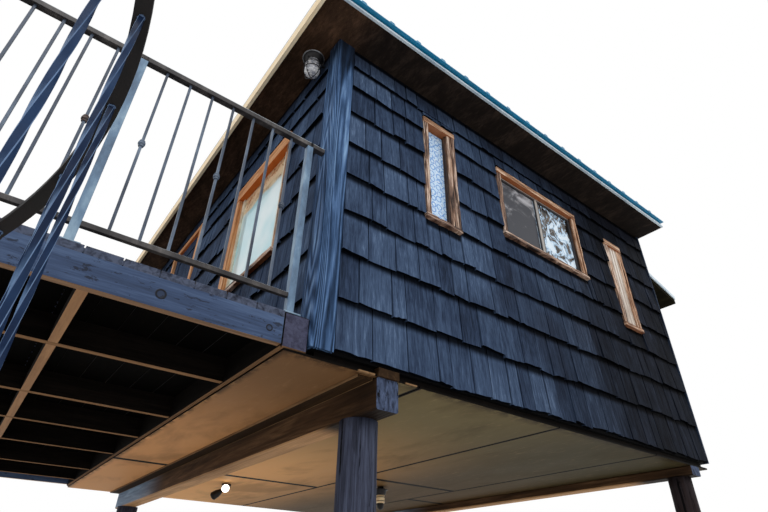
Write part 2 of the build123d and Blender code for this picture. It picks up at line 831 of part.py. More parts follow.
def jar_lamp(x, y, top):
    """Add a hanging lamp in steps: a cap with a wide brim, over a jar that narrows at its foot."""
    for low, high, radius in lamp_steps:
        with BuildSketch(level(top - low * lamp_length)) as section:
            with Locations((x, y)):
                RegularPolygon(radius, turned_sides)
        extrude(section.sketch, amount=(low - high) * lamp_length)


# lamp on an arm from the corner board of the deck-side wall
with BuildPart() as corner_lamp:
    jar_lamp(-lamp_out, lamp_y, lamp_top)
    with BuildSketch(along_y(-lamp_out)):
        with Locations((lamp_y, lamp_top - arm_drop)):
            RegularPolygon(arm_radius, arm_sides)
    extrude(amount=lamp_out)
    with BuildSketch(along_y(0)):
        with Locations((lamp_y, lamp_top - arm_drop)):
            RegularPolygon(3 * arm_radius, turned_sides)
    extrude(amount=-arm_radius)
corner_lamp.part.label = "corner_lamp"
export_step(corner_lamp.part, "parts/corner_lamp.step")

# lights under the floor: a round box with two floodlight heads, and a second jar lamp
with BuildPart() as under_lights:
    with BuildSketch(level(floor_underside)):
        with Locations((flood_x, flood_y)):
            RegularPolygon(flood_base, turned_sides)
    extrude(amount=-flood_base)
    for side in (-1, 1):
        head_place = Location((x0 + flood_x, y0 + flood_y, floor_underside - flood_base),
                              (0, side * (180 - flood_tilt), 0))
        with BuildSketch(Plane(head_place)):
            RegularPolygon(flood_head, turned_sides)
        extrude(amount=flood_length)
    jar_lamp(jar_lamp_x, jar_lamp_y, floor_underside)
under_lights.part.label = "under_lights"
export_step(under_lights.part, "parts/under_lights.step")
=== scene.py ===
import bpy
import bmesh
import json
import math
import random
from mathutils import Matrix, Vector, noise


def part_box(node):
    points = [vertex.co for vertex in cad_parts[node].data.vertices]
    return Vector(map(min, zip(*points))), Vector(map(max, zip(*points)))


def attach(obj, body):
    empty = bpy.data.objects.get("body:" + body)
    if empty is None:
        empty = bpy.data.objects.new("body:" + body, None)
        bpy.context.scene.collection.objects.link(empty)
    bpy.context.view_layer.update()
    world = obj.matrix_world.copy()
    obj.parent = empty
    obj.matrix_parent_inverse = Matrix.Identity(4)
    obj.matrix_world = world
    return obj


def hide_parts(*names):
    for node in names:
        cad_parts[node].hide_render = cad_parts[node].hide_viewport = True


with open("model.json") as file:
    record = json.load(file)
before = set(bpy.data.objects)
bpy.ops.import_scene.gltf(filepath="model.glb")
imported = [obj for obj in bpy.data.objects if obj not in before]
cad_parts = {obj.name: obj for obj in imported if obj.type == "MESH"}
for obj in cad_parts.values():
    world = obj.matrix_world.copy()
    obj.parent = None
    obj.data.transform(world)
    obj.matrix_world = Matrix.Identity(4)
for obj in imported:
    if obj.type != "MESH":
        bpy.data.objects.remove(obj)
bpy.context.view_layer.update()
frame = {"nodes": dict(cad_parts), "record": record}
random.seed(23)
noise.seed_set(23)
wallLow = Vector(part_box("front_wall")[0])
wallHigh = Vector(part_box("back_wall")[1])
home = Vector((wallLow.x, wallLow.y, 0))  # the cabin's near left corner, at the ground
cabinLength, cabinDepth = wallHigh.x - wallLow.x, wallHigh.y - wallLow.y
print("frame loaded:", len(frame["nodes"]), "nodes")

# camera: close under the deck's edge, looking up at the corner; its place is from the cabin's corner
cameraView = {"place": (-1.1196, -2.03, 1.558), "heading": 37.25, "pitch": 33.29, "roll": 0.85, "lens": 24.12,
              "sensor": 36, "reach": 200}


def addObject(name, data):
    made = bpy.data.objects.new(name, data)
    bpy.context.scene.collection.objects.link(made)
    return made


def makeCamera():
    v = cameraView
    heading, pitch, roll = (math.radians(v[key]) for key in ("heading", "pitch", "roll"))
    ahead = Vector((math.sin(heading), math.cos(heading), 0))
    forward = ahead * math.cos(pitch) + Vector((0, 0, math.sin(pitch)))
    level = Vector((math.cos(heading), -math.sin(heading), 0))
    right = level * math.cos(roll) + level.cross(forward) * math.sin(roll)
    up = right.cross(forward)
    data = bpy.data.cameras.new("camera")
    data.lens = v["lens"]
    data.sensor_width = v["sensor"]
    data.clip_end = v["reach"]
    camera = addObject("camera", data)
    turn = Matrix((right, up, -forward)).transposed()
    camera.matrix_world = Matrix.Translation(home + Vector(v["place"])) @ turn.to_4x4()
    bpy.context.scene.camera = camera
    print("camera placed")


makeCamera()

# materials: how a pattern is stretched, not at all or into grain along an axis
even = (1, 1, 1)
grainAlong = {"x": (0.06, 1, 1), "y": (1, 0.06, 1), "z": (1, 1, 0.05)}


# a wrapped socket takes part in Python expressions, and a look builds one material
class Wire:
    def __init__(self, look, socket):
        self.look = look
        self.socket = socket

    def sum(self, operation, first, second):
        return self.look.node("Math", {"operation": operation}, {0: first, 1: second})

    def __add__(self, other):
        return self.sum("ADD", self, other)

    def __radd__(self, other):
        return self.sum("ADD", other, self)

    def __sub__(self, other):
        return self.sum("SUBTRACT", self, other)

    def __rsub__(self, other):
        return self.sum("SUBTRACT", other, self)

    def __mul__(self, other):
        return self.sum("MULTIPLY", self, other)

    def __rmul__(self, other):
        return self.sum("MULTIPLY", other, self)

    def wave(self):  # a sine between 0 and 1
        return self.look.node("Math", {"operation": "SINE"}, {0: self}) * 0.5 + 0.5

    def most(self, other):
        return self.sum("MAXIMUM", self, other)

    def over(self, low, high):  # 0 below low, 1 above high, smooth between; high may lie below low
        settings = {"interpolation_type": "SMOOTHSTEP"}
        return self.look.node("MapRange", settings, {"Value": self, "From Min": low, "From Max": high})


class Look:
    def __init__(self, name, rough=0.6, metal=0.0, coat=0.0, shine=0.5):
        self.surface = bpy.data.materials.new(name)
        self.surface.use_nodes = True
        self.graph = self.surface.node_tree
        self.shader = self.graph.nodes["Principled BSDF"]
        self.shader.inputs["Roughness"].default_value = rough
        self.shader.inputs["Metallic"].default_value = metal
        self.shader.inputs["Coat Weight"].default_value = coat
        self.shader.inputs["Specular IOR Level"].default_value = shine
        self.spot = self.node("TexCoord", out="Object")

    def node(self, kind, settings=None, inputs=None, out=0):
        made = self.graph.nodes.new("ShaderNode" + kind)
        for key, value in (settings or {}).items():
            if key == "stops":
                ramp = made.color_ramp.elements
                ramp.remove(ramp[1])
                ramp[0].position, ramp[0].color = value[0][0], tint(value[0][1:])
                for place, *color in value[1:]:
                    ramp.new(place).color = tint(color)
            else:
                setattr(made, key, value)
        for key, value in (inputs or {}).items():
            if isinstance(value, Wire):
                self.graph.links.new(value.socket, made.inputs[key])
            else:
                made.inputs[key].default_value = value
        return Wire(self, made.outputs[out])

    def moved(self, stretch, shift=(0, 0, 0)):
        return self.node("Mapping", None, {"Vector": self.spot, "Scale": stretch, "Location": shift})

    def noise(self, runs, scale, detail, rough, bend=0.0):
        inputs = {"Vector": runs, "Scale": scale, "Detail": detail, "Roughness": rough, "Distortion": bend}
        return self.node("TexNoise", None, inputs)

    def cloud(self, scale, stretch=even, detail=4.0, rough=0.55, bend=0.0, shift=(0, 0, 0)):
        return self.noise(self.moved(stretch, shift), scale, detail, rough, bend)

    def axis(self, name):
        return self.node("SeparateXYZ", None, {0: self.spot}, out=name)

    def facing(self, name):
        normal = self.node("NewGeometry", out="Normal")
        return self.node("SeparateXYZ", None, {0: normal}, out=name)

    def past(self, name, low, high):  # a step between two places, measured from the cabin's near left corner
        start = home["XYZ".index(name)]
        return self.axis(name).over(start + low, start + high)

    def within(self, name, low, high, soft=0.002):  # 1 between two places, with soft edges outside them
        return self.past(name, low - soft, low) * self.past(name, high + soft, high)

    def tone(self, name="tone"):
        return self.node("Attribute", {"attribute_name": name}, out="Fac")

    def ramp(self, value, *stops):  # each stop is its place, red, green and blue
        return self.node("ValToRGB", {"stops": stops}, {0: value})

    def mix(self, first, second, amount):
        return self.node("Mix", {"data_type": "RGBA"}, {0: amount, 6: tint(first), 7: tint(second)}, out=2)

    def feed(self, name, value):
        self.graph.links.new(value.socket, self.shader.inputs[name])

    def done(self, color, rough=None, height=None, depth=0.0):
        self.feed("Base Color", color)
        if rough:
            self.feed("Roughness", rough)
        if height:
            inputs = {"Height": height, "Distance": depth, "Strength": 1.0}
            self.feed("Normal", self.node("Bump", None, inputs))
        return self.surface


def tint(color):  # red, green and blue as they look on the screen, 0 to 255; a link stays as it is
    if isinstance(color, Wire):
        return color
    channels = [c / 255 for c in color]
    return (*(c / 12.92 if c < 0.04045 else ((c + 0.055) / 1.055) ** 2.4 for c in channels), 1)


def figured(look, stretch, scale=3.2, rings=150):  # flat-sawn grain, from the contours of a stretched cloud
    return (look.cloud(scale, stretch, 2, 0.35, 0.2, (1.7, 2.3, 0.4)) * rings).wave()


# boards with the grain along an axis; under is for faces that look down, end for the cut ends
def woodLook(name, along, dark, middle, light, rough=0.7, grain=26.0, relief=0.0016, under=None, end=None,
             knots=(), wear=None, figure=0.0, shine=0.22, flecks=None):
    look = Look(name, rough, shine=shine)
    stretch = grainAlong[along]
    fine = look.cloud(grain, stretch, 5, 0.62, 0.6)
    hair = look.cloud(grain * 5, stretch, 3, 0.7)
    value = look.cloud(2.2, stretch, 3, 0.5, 0.4) * 0.5 + fine * 0.5 + (hair - 0.5) * 0.25
    height = fine * 0.7 + hair * 0.3
    if figure:
        lines = figured(look, stretch)
        value = value + (lines - 0.5) * figure
        height = height + lines * figure * 2.5
    color = look.ramp(value, (0.30, *dark), (0.50, *middle), (0.72, *light))
    if wear:
        patches = look.cloud(wear[1], even, 5, 0.65, 0.3, (3, 7, 1)).over(wear[2], wear[2] + 0.12)
        color = look.mix(color, wear[0], patches * wear[3])
    if flecks:
        marks = look.cloud(46, [max(s, 0.35) for s in stretch], 4, 0.7, 0.3)
        color = look.mix(color, flecks, marks.over(0.60, 0.66) * 0.75)
    # faces that look down: bare timber on most boards, painted shade on the deck boards
    if under:
        downwards = look.facing("Z").over(-0.5, -0.8)
        bare = look.ramp(value, (0.30, *under[0]), (0.55, *under[1]), (0.75, *under[2]))
        color = look.mix(color, bare, downwards)
    if end:
        cut = look.facing(along.upper())
        cut = (cut * cut).over(0.5, 0.8)
        rings = look.cloud(34, even, 4, 0.6, 0.8)
        color = look.mix(color, look.ramp(rings, (0.3, *end[0]), (0.6, *end[1])), cut)
    for place, size in knots:
        ends = {0: look.spot, 1: home + Vector(place)}
        gap = look.node("VectorMath", {"operation": "DISTANCE"}, ends, out="Value")
        ring = gap.over(size, size * 0.75) * (gap.over(size * 0.45, size * 0.75) + 0.45)
        eyes = look.cloud(60, even, 2).over(0.55, 0.62) * gap.over(size * 0.6, size * 0.4)
        color = look.mix(color, (12, 14, 24), (ring * 0.8).most(eyes))
        height = height + ring * 0.8
    return look.done(color, fine * 0.25 + (rough - 0.12), height, relief)


def paintLook(name, color, shade, rough=0.45, metal=0.0, coat=0.0, pattern=9.0, chips=None):
    look = Look(name, rough, metal, coat, 0.4)
    broad = look.cloud(pattern, even, 5, 0.6)
    fine = look.cloud(pattern * 14, even, 3, 0.6)
    mixed = look.mix(shade, color, (broad * 0.75 + fine * 0.25).over(0.34, 0.62))
    if chips:
        worn = look.cloud(chips[1], even, 6, 0.75, 0.2, (5, 2, 9)).over(chips[2], chips[2] + 0.05)
        mixed = look.mix(mixed, chips[0], worn)
    return look.done(mixed, broad * 0.2 + (rough - 0.1), fine, 0.0004)


def shakeLook(name):  # charred wood: a painted blue sheen on the ridges, black between them, painted shadow under the butts and painted shade on their undersides
    look = Look(name, 0.7, shine=0.02)
    shade = look.tone()
    broad = look.cloud(2.2, (1, 1, 0.6), 4, 0.6)
    fine = look.cloud(50, (1, 1, 0.05), 5, 0.65, 0.7)
    hair = look.cloud(230, (1, 1, 0.03), 3, 0.7)
    value = (fine - 0.5) * 0.54 + (hair - 0.5) * 0.38 + (shade - 0.5) * 0.14 + (broad - 0.5) * 0.38 + 0.5
    near = look.ramp(value, (0.26, 17, 22, 32), (0.44, 46, 59, 82), (0.60, 70, 88, 116),
                     (0.82, 124, 148, 182))
    far = look.ramp(value, (0.26, 5, 6, 8), (0.44, 15, 17, 23), (0.60, 29, 34, 45),
                    (0.82, 64, 75, 98))
    # painted sky reflection near the deck, fading to painted shade towards the far end
    color = look.mix(near, far, look.past("X", 0.8, 3.2))
    warm = look.cloud(1.6, even, 3, 0.5, 0, (4, 4, 4)).over(0.58, 0.74) * 0.3
    # random dark patches, and painted shade under the roof's edge
    color = look.mix(color, (30, 31, 40), warm.most(look.past("Z", 4.60, 4.95) * 0.6))
    # painted shade on the faces that look down, and painted shadow just under each butt above
    butt = look.facing("Z").over(-0.35, -0.7)
    shadow = (look.tone("high") + (broad - 0.5) * 0.12).over(0.70, 0.83)
    color = look.mix(color, (1, 1, 2), (butt * 0.97).most(shadow * 0.93))
    return look.done(color, 0.8 - fine * 0.35, fine * 0.75 + hair * 0.25, 0.002)


def soffitLook(name):  # near-black boards, browner and flecked over the deck
    look = Look(name, 0.85, shine=0.08)
    value = look.cloud(9, (1, 0.35, 1), 5, 0.62, 0.6) * 0.6 + look.cloud(60, (1, 0.3, 1), 4, 0.7) * 0.4
    dark = look.ramp(value, (0.3, 14, 11, 10), (0.5, 30, 24, 21), (0.7, 56, 46, 40))
    brown = look.ramp(value, (0.3, 34, 24, 17), (0.5, 66, 48, 36), (0.7, 104, 76, 58))
    color = look.mix(dark, brown, look.past("X", 0.25, -0.15))
    flecks = look.cloud(110, even, 3, 0.7).over(0.62, 0.70)
    color = look.mix(color, (128, 92, 68), flecks * 0.5 * look.past("X", 0.4, -0.1))
    return look.done(color, height=value, depth=0.002)


def cornerLook(name):  # raised flat-sawn grain, with painted shade under the roof and at the lean-to's corner
    look = Look(name, 0.6, shine=0.06)
    stretch = grainAlong["z"]
    fine = look.cloud(40, stretch, 5, 0.65, 0.6)
    hair = look.cloud(200, stretch, 3, 0.7)
    lines = figured(look, (1, 1, 0.07), 5.0, 190)
    value = fine * 0.6 + hair * 0.3 + lines * 0.22 - 0.06 + (look.cloud(2, (1, 1, 0.4), 3) - 0.5) * 0.4
    color = look.ramp(value, (0.30, 20, 32, 50), (0.48, 50, 74, 108), (0.62, 82, 112, 154),
                      (0.8, 132, 166, 204))
    # painted shade under the roof and at the lean-to's corner
    paintedShade = look.past("Z", 4.55, 4.93).most(look.past("X", 2, 3))
    color = look.mix(color, (20, 23, 32), paintedShade * 0.8)
    return look.done(color, 0.75 - lines * 0.25, fine * 0.4 + lines * 0.8, 0.003)


def logLook(name):  # a stained log with long dark checks
    look = Look(name, 0.65, shine=0.06)
    fine = look.cloud(52, (1, 1, 0.05), 5, 0.65, 0.4)
    hair = look.cloud(190, (1, 1, 0.04), 3, 0.7)
    checks = look.cloud(26, (1, 1, 0.07), 5, 0.75, 0.3, (3, 1, 2)).over(0.405, 0.375)
    value = fine * 0.8 + hair * 0.3 - 0.05
    color = look.ramp(value, (0.30, 28, 30, 38), (0.48, 56, 60, 76), (0.66, 82, 89, 110),
                      (0.8, 116, 126, 150))
    color = look.mix(color, (38, 27, 21), look.past("X", 2, 3) * 0.85)
    color = look.mix(color, (3, 3, 5), checks * 0.92)
    return look.done(color, height=fine * 0.5 + hair * 0.2 - checks * 1.2, depth=0.005)


def trimLook(name):  # smooth orange boards, aged on the front wall, and barky ones; "lie" turns the grain
    look = Look(name, 0.6, shine=0.25)
    lie = look.tone("lie")
    runs = look.node("Mix", {"data_type": "VECTOR"}, {0: lie, 4: look.moved((1, 1, 0.05)),
                     5: look.moved((0.06, 0.06, 1))}, out=1)
    fine = look.noise(runs, 34, 5, 0.65, 0.6)
    hair = look.noise(runs, 150, 3, 0.7)
    grooves = look.noise(runs, 75, 4, 0.7, 0.5)
    value = fine * 0.75 + hair * 0.25
    smooth = look.ramp(value, (0.34, 140, 84, 46), (0.48, 196, 134, 86), (0.66, 234, 188, 144))
    front = look.past("Y", 0.12, 0.06)
    aged = look.ramp(grooves * 0.65 + fine * 0.35, (0.40, 66, 42, 28), (0.46, 138, 98, 72),
                     (0.53, 190, 150, 120), (0.61, 238, 214, 192))
    smooth = look.mix(smooth, aged, front)
    bark = look.ramp(grooves * 0.5 + fine * 0.5, (0.42, 20, 14, 14), (0.47, 92, 70, 60),
                     (0.53, 158, 128, 110), (0.60, 240, 222, 206))
    patches = look.cloud(7, (1, 1, 0.5), 4, 0.6).over(0.42, 0.58)
    rough = look.tone()
    color = look.mix(smooth, bark, (rough * 1.5 + patches * 0.5 - 0.5).over(0.05, 0.85))
    below = look.facing("Z").over(-0.5, -0.9) * (1 - rough).most(0) * 0.9
    color = look.mix(color, look.mix((222, 112, 36), (150, 84, 44), front), below)
    # tone 2: painted shade in the window reveal
    revealShade = look.mix((44, 32, 27), (116, 84, 62), value.over(0.42, 0.60))
    color = look.mix(color, revealShade, rough.over(1.4, 1.6))
    return look.done(color, fine * 0.3 + 0.5, fine * 0.6 + hair * 0.4, 0.004)


# the sheets under the floor: left and right sides and cross seam of each, the gap between two, half seams
panels = {"sheets": ((-0.15, 0.67, 2.945), (0.68, 1.89, 3.035), (1.90, 3.11, 2.255), (3.12, 3.96, 3.005)),
          "gap": 0.01, "seamCaulkAndShade": 0.016, "crossSeam": 0.036}


def panelLook(name):  # painted sheets, with the lamp's light painted on as tan at the back and painted shade as olive towards the front
    look = Look(name, 0.6, shine=0.04)
    # painted lamp light at the back near the floodlight, falling to painted shade towards the front and the
    # right
    deep = look.past("Y", 0.3, 2.9)
    across = look.past("X", 0.8, 2.7)
    strip = look.past("X", 0.43, 0.38)
    color = look.mix(look.mix((116, 103, 70), (66, 60, 40), across),
                     look.mix((240, 180, 116), (84, 66, 42), across), deep)
    # the strip beside the beam: painted shade near the front, painted lamp light further back
    nearer = look.past("Y", 0.1, 2.2)
    color = look.mix(color, look.mix((120, 88, 58), (212, 155, 102), nearer), strip)
    blotch = look.cloud(2.6, (1, 0.4, 1), 4, 0.6, 0.4)
    fine = look.cloud(40, (1, 0.2, 1), 4, 0.6)
    color = look.mix(color, (60, 50, 34), blotch.over(0.48, 0.7) * 0.35)
    color = look.mix(color, (214, 176, 132), fine.over(0.55, 0.8) * 0.12)
    # dark caulk in the seams, with painted shade on the sheets' edges and in the gaps
    seamCaulkAndShade = look.facing("Z").over(-0.9, -0.6)
    half, halfCross = panels["seamCaulkAndShade"], panels["crossSeam"]
    for left, right, cut in panels["sheets"]:
        inside = look.within("X", left + 0.004, right, 0.004)
        seamCaulkAndShade = seamCaulkAndShade.most(look.within("Y", cut - halfCross, cut + halfCross) * inside)
        if right < panels["sheets"][-1][1]:
            middle = right + panels["gap"] / 2
            seamCaulkAndShade = seamCaulkAndShade.most(look.within("X", middle - half, middle + half))
    # a ragged dark band along the front and left edges: dirt and painted shade
    rim = look.past("Y", 0.10, -0.02).most(look.past("X", -0.10, -0.15))
    color = look.mix(color, (36, 24, 16), rim * look.cloud(14, even, 5, 0.7).over(0.40, 0.56) * 0.8)
    color = look.mix(color, (10, 7, 5), seamCaulkAndShade)
    return look.done(color, blotch * 0.2 + 0.45, fine, 0.0006)


def beamLook(name):  # brown below and on the deck side, with painted sky light making it bluer towards the far end, painted shade at the near end, and a cracked front end
    look = Look(name, 0.6, shine=0.06)
    fine = look.cloud(20, grainAlong["y"], 5, 0.62, 0.6)
    hair = look.cloud(100, grainAlong["y"], 3, 0.7)
    lines = figured(look, (1, 0.1, 1))
    value = fine * 0.7 + look.cloud(1.8, (1, 0.4, 1), 3) * 0.3 + (hair - 0.5) * 0.2 + (lines - 0.5) * 0.04
    brown = look.ramp(value, (0.3, 44, 30, 19), (0.52, 78, 56, 38), (0.74, 128, 98, 70))
    skyLitBlue = look.ramp(value, (0.3, 70, 84, 104), (0.52, 126, 150, 178), (0.74, 176, 200, 222))
    # painted sky light towards the far end
    color = look.mix(brown, skyLitBlue, look.past("Y", 3.2, 4.2) * 0.95)
    # painted shade at the near end
    color = look.mix(color, (20, 15, 12), look.past("Y", 0.5, 0.1) * 0.6)
    below = look.facing("Z").over(-0.5, -0.8)
    tan = look.ramp(value, (0.3, 136, 100, 66), (0.7, 214, 168, 120))
    # painted shadow on the underside at the near end
    tan = look.mix((30, 22, 17), tan, look.past("Y", 0.40, 0.62))
    color = look.mix(color, tan, below)
    cut = look.facing("Y").over(-0.6, -0.85)
    cracks = look.cloud(48, (1.3, 1, 0.3), 4, 0.7, 0.6).over(0.38, 0.43)
    front = look.ramp(look.cloud(40, (1.2, 1, 0.4), 4, 0.6, 0.8), (0.3, 36, 42, 58), (0.7, 84, 98, 128))
    color = look.mix(color, look.mix((12, 12, 16), front, cracks), cut)
    return look.done(color, height=fine * 0.7 + hair * 0.3 + lines * 0.3, depth=0.003)


def barLook(name):  # blue paint, with painted light on the sides turned to the left and painted highlights along the bars' worn corners and welds
    look = Look(name, 0.5, shine=0.12)
    broad = look.cloud(6, (1, 1, 0.5), 4, 0.6)
    paint = look.ramp(broad, (0.34, 18, 34, 64), (0.5, 30, 58, 100), (0.66, 56, 92, 142))
    # painted light: facets turned to the left and back are paler, the others darker
    towardsLight = look.facing("Y") * 0.6 - look.facing("X") * 0.8
    pale = (towardsLight + (look.cloud(22, (1, 1, 0.3), 4, 0.7) - 0.5) * 1.2).over(-0.1, 1.1)
    paint = look.mix(look.mix(paint, (8, 15, 34), 0.6), (142, 178, 224), pale * 0.95)
    # painted highlights on the worn corners (tone 1) and the welds (tone 0.8)
    worn = look.tone() * (look.cloud(14, (1, 1, 0.4), 3).over(0.3, 0.6) * 0.4 + 0.2)
    color = look.mix(paint, (138, 168, 210), worn)
    return look.done(color, broad * 0.25 + 0.3, look.cloud(160, even, 3), 0.0003)


def railLook(name):  # painted bars, with a painted highlight on top: tone 0 is a picket, 0.3 a post, 0.6 a rail, 1 a rusty collar
    look = Look(name, 0.5, 0.05, 0.05, 0.35)
    tone = look.tone()
    broad = look.cloud(10, (1, 1, 0.4), 5, 0.6)
    picket = look.ramp(broad, (0.34, 50, 58, 72), (0.52, 76, 88, 106), (0.7, 112, 128, 148))
    post = look.ramp(broad, (0.34, 74, 94, 118), (0.52, 104, 132, 160), (0.7, 150, 176, 196))
    rail = look.ramp(broad, (0.34, 34, 32, 34), (0.52, 60, 57, 58), (0.7, 104, 100, 98))
    color = look.mix(look.mix(picket, post, tone.over(0.1, 0.2)), rail, tone.over(0.45, 0.5))
    # painted highlight on the rail's top faces and top edge
    upper = look.past("Z", 3.8475, 3.8495).most(look.facing("Z").over(0.3, 0.8) * 0.8)
    color = look.mix(color, (190, 198, 204), upper)
    rust = tone.over(0.85, 0.95) * look.cloud(60, even, 3).over(0.35, 0.6)
    color = look.mix(color, (84, 66, 60), rust)
    return look.done(color, broad * 0.3 + 0.3, look.cloud(180, even, 3), 0.0004)


def patternGlass(name):  # blue curls and white specks on light blue, and a pale curtain in the far window
    look = Look(name, 0.22, 0.0, 0.4)
    inputs = {"Vector": look.moved((1, 0, 1)), "Scale": 17.0, "Randomness": 0.25}
    cells = look.node("TexVoronoi", {"feature": "F1"}, inputs, out="Distance")
    bend = look.cloud(9, (1, 0, 1), 1, 0.5)
    curl = (cells * 15 + bend * 4).wave().over(0.55, 0.85)
    dots = look.cloud(60, (1, 0, 1), 2).over(0.58, 0.64)
    color = look.mix((196, 226, 255), (88, 148, 224), curl * 0.8)
    color = look.mix(color, (250, 253, 255), dots * 0.8)
    border = look.past("X", 0.846, 0.842).most(look.past("X", 1.012, 1.016))
    color = look.mix(color, (226, 230, 232), border)
    folds = (look.axis("X") * 130 + look.cloud(3, (1, 1, 0.3), 2) * 5).wave()
    folds = folds * look.cloud(5, (1, 1, 0.5), 3).over(0.3, 0.6)
    curtain = look.mix((150, 128, 108), (226, 214, 200), folds)
    color = look.mix(color, curtain, look.past("X", 2.0, 2.1))
    return look.done(color, height=curl, depth=0.0008)


def sashLook(name):  # dark track, with a pale head and a pale meeting stile
    look = Look(name, 0.4, 0.2, 0.0, 0.4)
    stile = look.past("X", 2.118, 2.122) * look.past("X", 2.152, 2.148)
    head = look.past("Z", 4.545, 4.549)
    worn = look.cloud(12, even, 4)
    pale = look.mix((150, 148, 146), (186, 180, 172), worn)
    dark = look.mix((40, 40, 44), (66, 66, 70), worn)
    return look.done(look.mix(dark, pale, stile.most(head)), height=worn, depth=0.0003)


def widePanes(name):  # a dark screen on the left, and a broken bright reflection on the right
    look = Look(name, 0.12, 0.0, 0.15, 0.2)
    side = look.past("X", 2.10, 2.11)
    mesh = (look.axis("X") * 900).wave() * (look.axis("Z") * 900).wave()
    smear = look.cloud(6, (0.7, 1, 1.2), 5, 0.6, 0.8) + (look.axis("Z") - 4.36) * 0.45
    cloth = look.mix((58, 60, 68), (190, 190, 196), smear.over(0.47, 0.74))
    cloth = look.mix(cloth, (34, 36, 40), mesh * 0.35)
    broken = look.cloud(8, (1, 1, 0.8), 6, 0.72, 0.9, (2, 2, 5))
    bright = look.ramp(broken, (0.43, 10, 12, 12), (0.47, 96, 76, 52), (0.50, 150, 190, 224),
                       (0.56, 226, 242, 255))
    return look.done(look.mix(cloth, bright, side), 0.45 - side * 0.35)


def sidePanes(name):  # pale cyan, with an uneven cream blind along the head
    look = Look(name, 0.15, 0.0, 0.6, 0.5)
    hem = look.axis("Z") + look.cloud(2.4, even, 3) * 0.16
    blind = look.mix((236, 214, 178), (206, 176, 136), look.cloud(6, (1, 1, 3), 3).over(0.4, 0.65))
    glass = look.mix((160, 220, 232), (222, 244, 248), look.cloud(1.8, even, 2).over(0.35, 0.65))
    folds = look.cloud(5, (1, 1, 0.5), 3, 0.6, 1.5)
    blind = look.mix(blind, (150, 106, 74), folds.over(0.50, 0.53) * folds.over(0.56, 0.53) * 0.8)
    return look.done(look.mix(glass, blind, hem.over(4.26, 4.30)), look.cloud(5) * 0.2 + 0.08)


def jarLook(name, color, seen):  # clear glass under a thin dusty film, with painted highlights where it turns white
    look = Look(name, 0.04, 0.0, 1.0)
    filmAndGlints = look.cloud(26, even, 3, 0.6, 1.5).over(0.40, 0.62)
    look.feed("Alpha", filmAndGlints * 0.35 + seen)
    return look.done(look.mix((150, 153, 168), look.mix(color, (255, 255, 255), filmAndGlints), filmAndGlints * 0.5 + 0.5))


def lensLook(name, color, strength):  # a lens that is lit
    look = Look(name, 0.2)
    glow = look.mix(color, (255, 250, 240), look.cloud(60, even, 3))
    look.feed("Emission Color", glow)
    look.shader.inputs["Emission Strength"].default_value = strength
    return look.done(glow)


